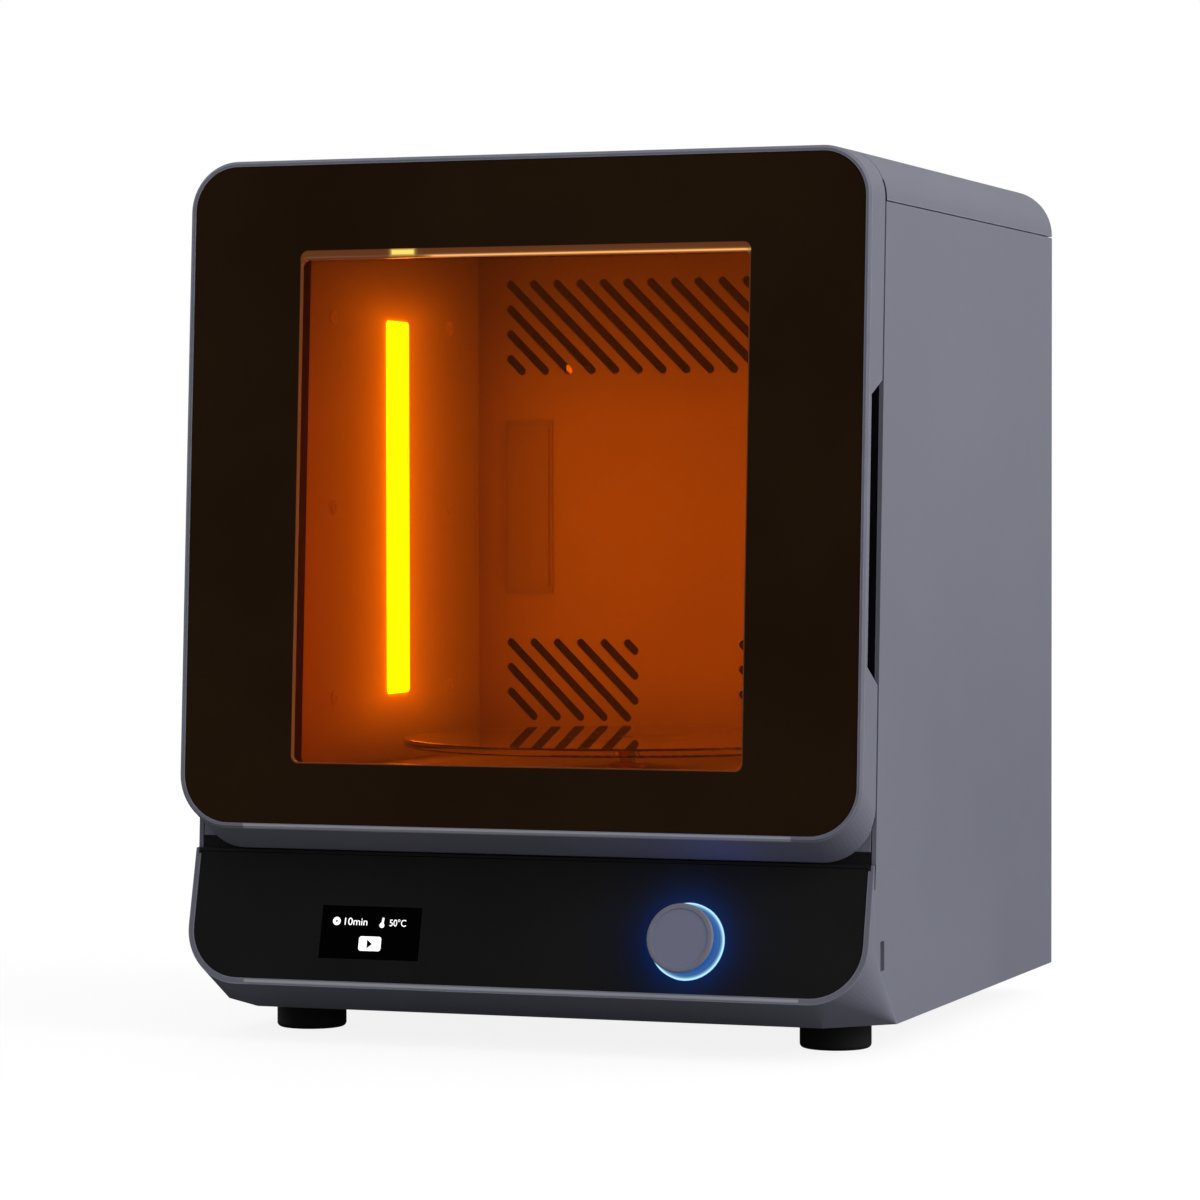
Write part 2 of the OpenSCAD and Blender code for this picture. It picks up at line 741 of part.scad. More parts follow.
module exhaust_rotor() {
  y1 = rear_y0 - rotor_gap;
  y0 = y1 - rotor_d;
  color("#141517") difference() {
    union() {
      rod_y(fan_x, fan_z, fan_hub_r, y0, y1);
      for (i = [0 : blade_n - 1])
        translate([fan_x, (y0 + y1) / 2, fan_z])
          rotate([0, i * 360 / blade_n, 0]) rotate([0, 0, blade_turn])
            translate([-blade_t / 2, -blade_w / 2, 0])
              cube([blade_t, blade_w, fan_d / 2]);
    }
    rod_y(fan_x, fan_z, cup_r, y0 - cut, y1 - cup_skin);
    difference() {
      rod_y(fan_x, fan_z, fan_d, y0 - 20, y1 + 20);
      rod_y(fan_x, fan_z, fan_d / 2, y0 - 21, y1 + 21);
    }
    translate([fan_x - fan_d, y1, fan_z - fan_d]) cube(2 * fan_d);
    translate([fan_x - fan_d, y0 - 2 * fan_d, fan_z - fan_d])
      cube(2 * fan_d);
  }
  color("#c9ccd1")
    rod_y(fan_x, fan_z, fan_shaft_r, rear_y0 - fan_t + 1.3, y1 - cup_skin + 0.1);
}

// Front frame and control panel

frame_low_r = panel_r + panel_low;
panel_hw = half_w - rim_w;
wall_d = plate_back;                  // front of the wall behind the plate
wall_in = wall_d + 3;
ctrl_x0 = 48 - half_w;                // ends of the control board
ctrl_x1 = half_w - 45;
ctrl_z0 = 6;
ctrl_h = 32;
boss_in = [7, 4];                     // bosses from the board's edges
boss_at = [for (x = [ctrl_x0 + boss_in[0], ctrl_x1 - boss_in[0]])
  for (z = [ctrl_z0 + boss_in[1], ctrl_z0 + ctrl_h - boss_in[1]]) [x, z]];
ring_neck = ring_d / 2 - 3;           // light guide behind the ring
ring_in = ring_neck - 2;
boss_end = 14;                        // depth of the control board's face
hollow_d = 120;                       // reach of the hollow behind the plate
port_in = 16;                         // depth of the port's body

// Thin bar across the frame, a corner line of the blended chin.
module frame_bar(hw, y, z) {
  translate([-hw, y, z]) cube([2 * hw, 0.5, 0.5]);
}

module front_frame() {
  chin_hw = half_w - frame_low_r;
  color("#84878f") difference() {
    union() {
      hull() {
        on_panel() along_y(0, 0.5) tall_rect(half_w, -panel_low,
          (ledge_z - panel_z) / cos(panel_slant) - 0.3, frame_low_r, 0);
        frame_bar(chin_hw, chin_y, base_z);
        frame_bar(half_w, toe_y - 0.5, base_z);
        frame_bar(half_w, front_at(ledge_z, frame_d) + 2, ledge_z - 0.5);
      }
      on_door() along_y(frame_d, frame_back)
        tall_rect(in_w - 0.5, up_at(ledge_z - 6, frame_back),
          up_at(roof_z, frame_d) - 0.1, 0, top_r - cover_t);
    }
    // the side sheets lie against the frame's flanks
    both_sides() along_x(in_w, half_w + cut)
      polygon(concat([for (i = [0 : 3]) side_outline[i]],
        [[back_y, base_z - cut], [back_y, sheet_z]]));
    // mouth of the chamber
    translate([-wall_x, front_y, floor_z]) cube([cham_w, toe_in, cham_h]);
    // hollow behind the control plate
    on_panel() {
      along_y(-cut, wall_d)
        tall_rect(panel_hw + lay_fit, -lay_fit, panel_h + lay_fit,
          panel_r + lay_fit, 0.5);
      along_y(wall_in, hollow_d)
        tall_rect(half_w - 9, 5, panel_h - 4, 12, 2);
      along_y(0, wall_in + cut) {
        translate([-disp_x - disp_w / 2 - lay_fit,
            disp_up - disp_h / 2 - lay_fit])
          square([disp_w + 2 * lay_fit, disp_h + 2 * lay_fit]);
        translate([knob_x, knob_up]) circle(ring_neck + run_fit);
      }
    }
    // recesses for the hinge leaves and their screws
    on_door() for (h = hinge_at) {
      translate([leaf_x - lay_fit, frame_d - cut, h - leaf_h / 2 - lay_fit])
        cube([leaf_w + 2 * lay_fit, cut + leaf_d - frame_d + leaf_t,
          leaf_h + 2 * lay_fit]);
      for (dz = [-1, 1]) rod_y(leaf_screw_x,
        h + dz * leaf_screw_z, screw_r + screw_fit,
        frame_d, leaf_d + leaf_t + 2.2);
    }
    // seats of the strike plates
    on_door() for (h = magnet_at)
      rod_y(magnet_x, h, magnet_r + lay_fit, frame_d - cut,
        frame_d + strike_t);
    // body of the port
    translate([in_w - port_in - lay_fit, port_yc - port_w / 2 - 1 - lay_fit,
        port_z - port_h / 2 - 1 - lay_fit])
      cube([port_in + cut, port_w + 2 + 2 * lay_fit,
        port_h + 2 + 2 * lay_fit]);
  }
  color("#84878f") on_panel() for (b = boss_at) difference() {
    rod_y(b[0], b[1], 3.5, wall_in - 0.1, boss_end);
    rod_y(b[0], b[1], 1.2, wall_in + 1, boss_end + cut);
  }
}

module control_panel() {
  color("#0c0d0f") on_panel() along_y(plate_set, plate_back) difference() {
    tall_rect(panel_hw, 0, panel_h, panel_r, 0.5);
    translate([-disp_x - disp_w / 2 - lay_fit,
        disp_up - disp_h / 2 - lay_fit])
      square([disp_w + 2 * lay_fit, disp_h + 2 * lay_fit]);
    translate([knob_x, knob_up]) circle(ring_d / 2 + lay_fit);
  }
}

disp_lap = 3;                         // the display's body round its face

module display_screen() {
  color("#101214") on_panel() {
    along_y(plate_set, wall_in)
      translate([-disp_x - disp_w / 2, disp_up - disp_h / 2])
        square([disp_w, disp_h]);
    along_y(wall_in, boss_end)
      translate([-disp_x - disp_w / 2 - disp_lap, disp_up - disp_h / 2 - disp_lap])
        square([disp_w + 2 * disp_lap, disp_h + 2 * disp_lap]);
  }
}

ctrl_chip = [12, 5, 9];

// Board behind the control plate, with five chips on its rear face.
module control_board() {
  color("#2c5a3c") on_panel() {
    along_y(boss_end, boss_end + board_t) difference() {
      translate([ctrl_x0, ctrl_z0]) square([ctrl_x1 - ctrl_x0, ctrl_h]);
      for (b = boss_at) translate(b) circle(1.3);
    }
    for (x = [-30 : 20 : 50])
      translate([x, boss_end + board_t - 0.1, ctrl_z0 + 6]) cube(ctrl_chip);
  }
}

encoder_w = 14;
encoder_face = 7;                     // depth of the encoder's square body
collar_r = 4.8;                       // threaded collar of the encoder
collar_face = 2;

module light_ring() {
  color("#7fd6ff") on_panel() {
    along_y(0.2, wall_d) translate([knob_x, knob_up]) difference() {
      circle(ring_d / 2);
      circle(ring_in);
    }
    along_y(wall_d - 0.01, boss_end) translate([knob_x, knob_up]) difference() {
      circle(ring_neck);
      circle(ring_in);
    }
  }
}

sleeve_r = shaft_d / 2 + 0.6;
sleeve_end = 10.5;
shaft_end = 9.5;

module encoder_body() {
  color("#3a3d42") on_panel() difference() {
    union() {
      along_y(encoder_face, boss_end)
        translate([knob_x - encoder_w / 2, knob_up - encoder_w / 2])
          square(encoder_w);
      rod_y(knob_x, knob_up, collar_r, collar_face, encoder_face + 0.01);
    }
    rod_y(knob_x, knob_up, sleeve_r + run_fit, collar_face - cut, sleeve_end + 1.5);
  }
}

module encoder_sleeve() {
  color("#c9ccd1") on_panel() difference() {
    rod_y(knob_x, knob_up, sleeve_r, collar_face - 0.5, sleeve_end);
    rod_y(knob_x, knob_up, shaft_d / 2 + run_fit, 0, shaft_end + 0.3);
  }
}

module knob_shaft() {
  color("#d6d8dc") on_panel() {
    rod_y(knob_x, knob_up, shaft_d / 2, knob_skin + 1.5 - knob_out, shaft_end);
  }
}

knob_skin = 3.5;                      // behind the knob's face
knob_wall = 2.2;
knob_hub = 7;
dish_rim = 2.2;                       // rim round the sunk face
dish_t = 0.5;

// Turned profile of the knob, axis up, face on top.
module knob_half() {
  h = knob_out - knob_gap;
  difference() {
    union() {
      square([knob_r - knob_fillet, h]);
      square([knob_r, h - knob_fillet]);
      translate([knob_r - knob_fillet, h - knob_fillet]) circle(knob_fillet);
    }
    translate([knob_hub, -cut])
      square([knob_r - knob_wall - knob_hub, h - knob_skin + cut]);
    translate([-cut, -cut]) square([cut + shaft_d / 2, h - knob_skin + cut]);
    translate([-cut, h - dish_t]) square([cut + knob_r - dish_rim, cut]);
    translate([-far, -far / 2]) square(far);
  }
}

module knob() {
  color("#8f9299") on_panel()
    translate([knob_x, -knob_gap, knob_up]) rotate([90, 0, 0])
      rotate_extrude() knob_half();
}

// Curing chamber

lens_rim = 4;
lens_t = 2;
screw_col = [-79, 68];                // lamp screws before and behind
screw_high = lamp_h / 2 - 1;
screw_row = [-screw_high, 0, screw_high];
boss_r = 4;

// Runs its child at each lamp screw, in y and z about the lamp's middle.
module at_lamp_screws() {
  for (y = screw_col) for (z = screw_row) translate([y, z]) children();
}

module chamber_wall() {
  z0 = floor_z - liner_t;
  z1 = ceil_z + liner_t;
  along_x(wall_x, wall_x1) difference() {
    polygon([[front_at(z0, frame_back), z0], [duct_y, z0], [duct_y, z1],
      [front_at(z1, frame_back), z1]]);
    translate([lamp_yc, lamp_zc]) {
      round_rect(-lamp_w / 2 - lay_fit, -lamp_h / 2 - lay_fit,
        lamp_w + 2 * lay_fit, lamp_h + 2 * lay_fit, lamp_r + lay_fit);
      at_lamp_screws() circle(screw_r + screw_fit);
    }
  }
}

module chamber_wall_left() {
  color("#e8e2d4") mirror([1, 0, 0]) chamber_wall();
}

module chamber_wall_right() {
  color("#e8e2d4") chamber_wall();
}

// A level liner sheet between the chamber's walls.
module liner_sheet(z0) {
  z1 = z0 + liner_t;
  along_x(-wall_x, wall_x) polygon([[front_at(z0, frame_back), z0],
    [duct_y, z0], [duct_y, z1], [front_at(z1, frame_back), z1]]);
}

bush_r = spin_d / 2 + 3;

module chamber_floor() {
  color("#e8e2d4") difference() {
    liner_sheet(floor_z - liner_t);
    rod_z(0, table_yc, bush_r, floor_z - 5, floor_z + cut);
  }
}

module chamber_ceiling() {
  color("#e8e2d4") liner_sheet(ceil_z);
}

// Slots that fall to the right at 45 degrees, with round ends, held inside
// a field of width w and height h whose lower left corner is the origin.
// One slot starts right in the field's upper left corner.
module slant_field(w, h) {
  r = slot_w / 2;
  start = h - floor((h - slot_w) / slot_pitch) * slot_pitch;
  count = floor((w + h - slot_w - start) / slot_pitch);
  for (i = [0 : count]) {
    sum = start + i * slot_pitch;
    x0 = max(r, sum - (h - r));
    x1 = min(w - r, sum - r);
    if (x1 - x0 > r) {
      translate([x0, sum - x0]) circle(r, $fn = 24);
      translate([x1, sum - x1]) circle(r, $fn = 24);
      translate([x0, sum - x0]) rotate(-45)
        translate([0, -r]) square([(x1 - x0) * sqrt(2), slot_w]);
    }
  }
}

low_z = floor_z + grille_low_up;      // lower edges of the grilles
up_z = ceil_z - grille_up_drop - grille_up_h;
probe_step = [1.6, 4.2];              // the cover's raised field, from its edges

module chamber_rear_wall() {
  color("#e8e2d4") along_y(cham_y, duct_y) difference() {
    translate([-wall_x, floor_z]) square([cham_w, cham_h]);
    translate([-grille_w / 2, up_z])
      slant_field(grille_w, grille_up_h);
    translate([-grille_w / 2, low_z])
      slant_field(grille_left_w, grille_low_h);
    translate([grille_w / 2 - grille_right_w, low_z])
      slant_field(grille_right_w, grille_low_h);
  }
}

module probe_cover() {
  z0 = low_z + grille_low_h + probe_gap;
  z1 = up_z - probe_gap;
  color("#ddd6c6") {
    along_y(cham_y - probe_out / 2, cham_y)
      round_rect(-grille_w / 2, z0, probe_w, z1 - z0, 1.5);
    along_y(cham_y - probe_out, cham_y - probe_out / 2 + 0.01)
      round_rect(-grille_w / 2 + probe_step[0], z0 + probe_step[1],
        probe_w - 2 * probe_step[0], z1 - z0 - 2 * probe_step[1], 1);
  }
}

// Lamps

chip = 3.5;
chip_y = 6;                           // chip columns from the board's middle
chip_end = 8;                         // first chip from the lens's end
sink_t = 4;
sink_x = wall_x1 + sink_gap;          // face of the sink towards the chamber
sink_h = lamp_h + 18;
sink_edge = 8;                        // from the lamp screws to a sink's edge
fin_d = in_w - fin_gap - sink_x - sink_t;
fin_t = 2;
board_t = 1.6;
board_face = sink_x - board_t;

module lamp_lens() {
  difference() {
    union() {
      along_x(wall_x - lamp_out, wall_x1 + 0.01)
        translate([lamp_yc, lamp_zc])
          round_rect(-lamp_w / 2, -lamp_h / 2, lamp_w, lamp_h, lamp_r);
      along_x(wall_x1, board_face) translate([lamp_yc, lamp_zc])
        round_rect(-lamp_w / 2 - lens_rim, -lamp_h / 2 - lens_rim,
          lamp_w + 2 * lens_rim, lamp_h + 2 * lens_rim, lamp_r);
    }
    along_x(wall_x - lamp_out + lens_t, board_face + cut)
      translate([lamp_yc, lamp_zc])
        round_rect(-lamp_w / 2 + lens_t, -lamp_h / 2 + lens_t,
          lamp_w - 2 * lens_t, lamp_h - 2 * lens_t, lamp_r - lens_t);
  }
}

module lamp_board() {
  step = (lamp_h - 2 * chip_end) / (chip_rows - 1);
  along_x(board_face, sink_x) translate([lamp_yc, lamp_zc])
    translate([-lamp_w / 2 - lens_rim, -lamp_h / 2 - lens_rim])
      square([lamp_w + 2 * lens_rim, lamp_h + 2 * lens_rim]);
  for (i = [0 : chip_rows - 1]) for (y = [-chip_y, chip_y])
    translate([board_face - 1, lamp_yc + y - chip / 2,
        lamp_zc - lamp_h / 2 + chip_end + i * step - chip / 2])
      cube([1.05, chip, chip]);
}

module heat_sink() {
  y0 = lamp_yc + screw_col[0] - sink_edge;
  w = screw_col[1] - screw_col[0] + 2 * sink_edge;
  step = (w - fin_t) / (fin_n - 1);
  difference() {
    union() {
      translate([sink_x, y0, lamp_zc - sink_h / 2])
        cube([sink_t, w, sink_h]);
      for (i = [0 : fin_n - 1])
        translate([sink_x + sink_t - 0.01, y0 + i * step,
            lamp_zc - sink_h / 2])
          cube([fin_d, fin_t, sink_h]);
      along_x(wall_x1, sink_x + 0.01) translate([lamp_yc, lamp_zc])
        at_lamp_screws() circle(boss_r);
    }
    along_x(wall_x1 - cut, sink_x + sink_t - 1)
      translate([lamp_yc, lamp_zc]) at_lamp_screws()
        circle(screw_r + screw_fit);
  }
}

module lamp_lens_left() {
  color("#fff3b0") mirror([1, 0, 0]) lamp_lens();
}
module lamp_lens_right() {
  color("#fff3b0") lamp_lens();
}
module lamp_board_left() {
  color("#f4f4f0") mirror([1, 0, 0]) lamp_board();
}
module lamp_board_right() {
  color("#f4f4f0") lamp_board();
}
module heat_sink_left() {
  color("#a7aab0") mirror([1, 0, 0]) heat_sink();
}
module heat_sink_right() {
  color("#a7aab0") heat_sink();
}

module lamp_screws() {
  color("#9b9ea4") both_sides() for (y = screw_col) for (z = screw_row)
    translate([wall_x, lamp_yc + y, lamp_zc + z]) rotate([0, -90, 0])
      pan_screw(screw_r, head_r, 1.4, liner_t + sink_gap + 2);
}

// Warm air duct with its cross-flow blower and heater

duct_w = grille_w + 10;
duct_z0 = low_z - 6;
duct_z1 = ceil_z - grille_up_drop + 6;
duct_y1 = rear_y0 - duct_gap;
blow_r = 12;
blow_end = 40;                        // room for the motor beside the drum
blow_hl = duct_w / 2 - blow_end;      // half length of the blower's drum
blow_y = (duct_y + duct_y1) / 2;
blow_z = up_z - 10;
blow_shaft_r = 2;
vane_n = 16;
motor_r = 13;
motor_len = 20;
bracket_t = 3;
bracket_h = 30;
bracket_in = 13;                      // a bracket's reach before the drum
bracket_x = blow_hl + 1;

module air_duct() {
  color("#b4b7bc") difference() {
    along_y(duct_y, duct_y1) translate([-duct_w / 2, duct_z0])
      square([duct_w, duct_z1 - duct_z0]);
    along_y(duct_y - cut, duct_y1 - duct_t)
      translate([-duct_w / 2 + duct_t, duct_z0 + duct_t])
        square([duct_w - 2 * duct_t, duct_z1 - duct_z0 - 2 * duct_t]);
  }
}

module blower_brackets() {
  color("#8d9096") both_sides() along_x(bracket_x, bracket_x + bracket_t)
    difference() {
      translate([blow_y - bracket_in, blow_z - bracket_h / 2])
        square([duct_y1 - duct_t - blow_y + bracket_in, bracket_h]);
      translate([blow_y, blow_z]) circle(blow_shaft_r + run_fit);
    }
}

module blower_motor() {
  x0 = bracket_x + bracket_t;
  color("#3d4046") difference() {
    rod_x(blow_y, blow_z, motor_r, x0, x0 + motor_len);
    rod_x(blow_y, blow_z, blow_shaft_r + run_fit, x0 - cut,
      x0 + motor_len - 4);
  }
}

module blower_rotor() {
  color("#c2c5ca") {
    for (x = [-blow_hl, -blow_hl / 3, blow_hl / 3 - 1.5, blow_hl - 1.5])
      rod_x(blow_y, blow_z, blow_r, x, x + 1.5);
    for (i = [0 : vane_n - 1]) translate([0, blow_y, blow_z])
      rotate([i * 360 / vane_n, 0, 0]) translate([-blow_hl, 0, blow_r - 4.4])
        rotate([28, 0, 0]) cube([2 * blow_hl, 0.9, 4]);
    rod_x(blow_y, blow_z, blow_shaft_r, -bracket_x - bracket_t - 1,
      bracket_x + bracket_t + motor_len - 5);
  }
}

heater_w = 2 * blow_hl;
heater_h = 26;
heater_d = 20;
heater_fins = 26;
heater_down = 62;                     // from the drum's axis to its underside
heater_back = 3;                      // clearance to the duct's rear wall
rod_r = 3;
rod_in = 6;                           // heating rods from the fins' ends

// Two heating rods through a row of fins, held by a lug at each end.
module heater() {
  y1 = duct_y1 - duct_t;
  y0 = y1 - heater_back - heater_d;
  yc = y0 + heater_d / 2;
  z0 = blow_z - heater_down;
  step = (heater_w - 1) / (heater_fins - 1);
  color("#c7cace") {
    for (z = [rod_in, heater_h - rod_in])
      rod_x(yc, z0 + z, rod_r, -heater_w / 2 - rod_in, heater_w / 2 + rod_in);
    for (i = [0 : heater_fins - 1])
      translate([-heater_w / 2 + i * step, y0, z0])
        cube([1, heater_d, heater_h]);
    both_sides() translate([heater_w / 2 + 3, yc - rod_r - 1, z0])
      cube([2, y1 - yc + rod_r + 1, heater_h]);
  }
}

// Electronics bay

psu_w = 98;
psu_h = 40;
psu_in = 12;                          // from the supply to the side sheet
psu_x = psu_in - in_w;
psu_y = post_front + post_r + 9;      // between the front and rear posts
psu_d = post_rear - post_r - 11 - psu_y;
psu_vent = [12, 3, 1.5];
psu_step = [20, 11];
psu_rows = floor((psu_d - 32) / psu_step[1]);
psu_ledge = 12;                       // step that carries the terminals
psu_wall = 8;

module support_posts() {
  color("#9b9ea4") for (p = post_places)
    rod_z(p[0], p[1], post_r, base_top, floor_z - liner_t);
}

module power_supply() {
  color("#aeb1b6") difference() {
    translate([psu_x, psu_y, base_top]) cube([psu_w, psu_d, psu_h]);
    for (i = [0 : psu_rows - 1]) for (j = [0 : 3])
      translate([psu_x + psu_wall + 6 + j * psu_step[0],
          psu_y + psu_ledge + 10 + i * psu_step[1],
          base_top + psu_h - psu_vent[2]])
        cube([psu_vent[0], psu_vent[1], psu_vent[2] + cut]);
    translate([psu_x + psu_wall, psu_y - cut, base_top + psu_wall])
      cube([psu_w - 2 * psu_wall, psu_ledge + cut, psu_h]);
  }
  // row of screw terminals
  color("#2e6b45") difference() {
    translate([psu_x + psu_wall + 4, psu_y + 1, base_top + psu_wall - 0.01])
      cube([psu_w - 2 * psu_wall - 8, psu_ledge - 2, 12]);
    for (i = [0 : 6])
      translate([psu_x + psu_wall + 6 + i * 10.5, psu_y, base_top + 14])
        cube([7, psu_ledge - 5, 7]);
  }
}

relay = [16, 18, 15];
relay_step = 22;
can_r = 7;
can_h = 22.5;
can_step = 24;
plug_row = [60, 8, 11];

// Board with a row of relays, three round capacitors and a plug strip.
module main_board() {
  z0 = base_top + board_up;
  z1 = z0 + board_t - 0.1;
  color("#2c5a3c") {
    difference() {
      translate([board_x, board_y, z0]) cube([board_w, board_d, board_t]);
      for (p = board_holes) rod_z(p[0], p[1], 1.5, z0 - cut, z0 + 3);
    }
    for (i = [0 : 3])
      translate([board_x + 14 + i * relay_step, board_y + 12, z1])
        cube(relay);
    for (i = [0 : 2])
      rod_z(board_x + 26 + i * can_step, board_y + 52, can_r, z1, z1 + can_h);
    translate([board_x + 20, board_y + 72, z1]) cube(plug_row);
  }
}

// Turntable and its drive

gear_r = 24;
gear_h = 18;
drive_r = 18;
drive_h = 30;
hub_r = 28;
hub_t = 3;
bush_flange = 2;
bush_in = 3.5;                        // bush below the chamber's floor sheet
disc_edge = 1;                        // radius on the clear disc's edges

module turntable_motor() {
  z1 = floor_z - liner_t;
  color("#74777d") difference() {
    union() {
      rod_z(0, table_yc, gear_r, z1 - gear_h, z1);
      rod_z(0, table_yc, drive_r, z1 - gear_h - drive_h, z1 - gear_h + 0.01);
    }
    rod_z(0, table_yc, bush_r + 0.3, z1 - bush_in - 0.5, z1 + cut);
    rod_z(0, table_yc, spin_d / 2 + run_fit, z1 - gear_h + 2, z1 + cut);
  }
}

module turntable_bush() {
  z1 = floor_z - liner_t;
  color("#b08d57") difference() {
    union() {
      rod_z(0, table_yc, bush_r - run_fit, z1 - bush_in, floor_z + bush_flange);
      rod_z(0, table_yc, bush_r + 3, floor_z, floor_z + bush_flange);
    }
    rod_z(0, table_yc, spin_d / 2 + run_fit, z1 - 5, floor_z + 5);
  }
}

module turntable_spindle() {
  color("#c9ccd1") {
    rod_z(0, table_yc, spin_d / 2, floor_z - liner_t - gear_h + 3,
      table_z - hub_t + 0.01);
    rod_z(0, table_yc, hub_r, table_z - hub_t, table_z);
    rod_z(0, table_yc, spin_d / 2, table_z - 0.01, table_z + table_t - 0.5);
  }
}

module turntable_disc() {
  color("#dfe9ef") translate([0, table_yc, table_z]) difference() {
    rotate_extrude($fn = 128) {
      square([table_d / 2 - disc_edge, table_t]);
      translate([0, disc_edge]) square([table_d / 2, table_t - 2 * disc_edge]);
      for (z = [disc_edge, table_t - disc_edge])
        translate([table_d / 2 - disc_edge, z]) circle(disc_edge, $fn = 24);
    }
    translate([0, 0, -cut])
      cylinder(r = spin_d / 2 + screw_fit, h = table_t + 2 * cut);
  }
}

// Hinges, latch and sensor

module hinge_brackets() {
  color("#9b9ea4") on_door() for (h = hinge_at) difference() {
    union() {
      translate([leaf_x, leaf_d, h - leaf_h / 2])
        cube([leaf_w, leaf_t, leaf_h]);
      translate([hinge_x - web_w / 2, hinge_deep, h - eye_h / 2])
        cube([web_w, leaf_d - hinge_deep + 0.01, eye_h]);
      rod_z(hinge_x, hinge_deep, eye_d / 2, h - eye_h / 2, h + eye_h / 2);
    }
    rod_z(hinge_x, hinge_deep, pin_d / 2, h - eye_h, h + eye_h);
    for (dz = [-1, 1]) rod_y(leaf_screw_x,
      h + dz * leaf_screw_z, screw_r + screw_fit,
      leaf_d - cut, leaf_d + leaf_t + cut);
  }
}

module hinge_pins() {
  color("#d6d8dc") on_door() for (h = hinge_at)
    rod_z(hinge_x, hinge_deep, pin_d / 2, h - hinge_h / 2 + 2,
      h + hinge_h / 2 - 2);
}

module strike_plates() {
  color("#b9bcc2") on_door() for (h = magnet_at)
    rod_y(magnet_x, h, magnet_r, frame_d, frame_d + strike_t);
}

module door_sensor() {
  color("#2a2b2e") on_door()
    translate([half_w - 30, frame_back, up_at(ceil_z, frame_back) + 6])
      cube([18, 8, 12]);
}

port_deep = 5;                        // clear depth in front of the tongue

module side_port() {
  x0 = in_w - port_in;
  color("#c4c7cc") difference() {
    translate([x0, port_yc - port_w / 2 - 1, port_z - port_h / 2 - 1])
      cube([port_in, port_w + 2, port_h + 2]);
    translate([x0 + 2, port_yc - port_w / 2, port_z - port_h / 2])
      cube([port_in, port_w, port_h]);
  }
  color("#f0f0ee") translate([x0 + 1.5, port_yc - 2, port_z - port_h / 2 + 1])
    cube([port_in - 2 - port_deep, 2, port_h - 2]);
}

// Door

// Outline of the door, inset all round, reaching down by low.
module door_outline(inset, low) {
  tall_rect(half_w - inset, -low + inset, door_len - inset,
    door_low_r - inset, top_r - inset);
}

// Seen from above: the door's thickness with its rear left edge round.
module door_plan() {
  translate([hinge_x, 0]) square([half_w - hinge_x, door_t]);
  translate([-half_w, 0]) square([hinge_in, hinge_deep]);
  intersection() {
    translate([hinge_x, hinge_deep]) circle(hinge_r);
    translate([-half_w, hinge_deep - cut]) square([hinge_in + cut, door_t]);
  }
}

module door_block() {
  rise = door_t * tan(lean);          // keeps the door's top level
  intersection() {
    hull() {
      along_y(0, 0.1) door_outline(rim_bevel, 0);
      along_y(rim_bevel, rim_bevel + 0.1) door_outline(0, 0);
      along_y(door_t - 0.1, door_t) tall_rect(half_w, -door_drop,
        door_len + rise, door_low_r, top_r);
    }
    translate([0, 0, -50]) linear_extrude(door_len + 100) door_plan();
  }
}

screw_places = [for (x = [-half_w + strip_l + 6, half_w - strip_r - 6])
  for (z = [13.5, door_len / 2, door_len - 15]) [x, z],
  for (z = [13.5, door_len - 15]) [0, z]];
cov_x0 = -half_w + strip_l - 4;
cov_x1 = half_w - strip_r + 3;
cov_z0 = 5;
cov_z1 = door_len - 6;
hinge_wall = grip_skin;               // front of the hinge pockets

module door_frame() {
  hollow_w = 2 * half_w - strip_l - strip_r;
  color("#84878f") on_door() {
    difference() {
      door_block();
      along_y(-cut, plate_back)
        tall_rect(half_w - rim_w + lay_fit, rim_w - lay_fit,
          door_len - rim_w + lay_fit, door_low_r - rim_w + lay_fit,
          top_r - rim_w + lay_fit);
      along_y(0, pane_back + cut)
        round_rect(-win_w / 2 - pane_lap - lay_fit,
          win_up - pane_lap - lay_fit, win_w + 2 * (pane_lap + lay_fit),
          win_h + 2 * (pane_lap + lay_fit), win_r);
      along_y(pane_back, door_t + cut)
        round_rect(-half_w + strip_l, 9, hollow_w, door_len - 19, 6);
      along_y(door_t - cover_in_t, door_t + cut)
        round_rect(cov_x0 - lay_fit, cov_z0 - lay_fit,
          cov_x1 - cov_x0 + 2 * lay_fit, cov_z1 - cov_z0 + 2 * lay_fit, 6);
      // finger recess with sloping ends
      translate([half_w - grip_in, grip_skin, grip_mid])
        rotate([0, -90, 0]) mirror([0, 0, 1]) linear_extrude(grip_in + cut)
          polygon([[-grip_len / 2, 0], [-grip_len / 2 - 10, door_t],
            [grip_len / 2 + 10, door_t], [grip_len / 2, 0]]);
      // pockets of the hinges
      for (h = hinge_at)
        translate([-half_w - cut, hinge_wall, h - hinge_h / 2])
          cube([cut + strip_l - 5, door_t, hinge_h]);
      for (h = magnet_at)
        rod_y(magnet_x, h, magnet_r + lay_fit, door_t - magnet_t,
          door_t + cut);
    }
    // bosses for the inner cover's screws
    for (p = screw_places) difference() {
      rod_y(p[0], p[1], boss_r, pane_back - 0.01, door_t - cover_in_t);
      rod_y(p[0], p[1], small_r + screw_fit, door_t - cover_in_t - 8.5, door_t);
    }
  }
}

module door_glass() {
  color("#0c0d0f") on_door() along_y(plate_set, plate_back) difference() {
    tall_rect(half_w - rim_w, rim_w, door_len - rim_w,
      door_low_r - rim_w, top_r - rim_w);
    round_rect(-win_w / 2, win_up, win_w, win_h, win_r);
  }
}

module window_pane() {
  color([1, 0.45, 0.05, 0.6]) on_door() along_y(plate_back, pane_back)
    round_rect(-win_w / 2 - pane_lap, win_up - pane_lap,
      win_w + 2 * pane_lap, win_h + 2 * pane_lap, win_r - lay_fit);
}

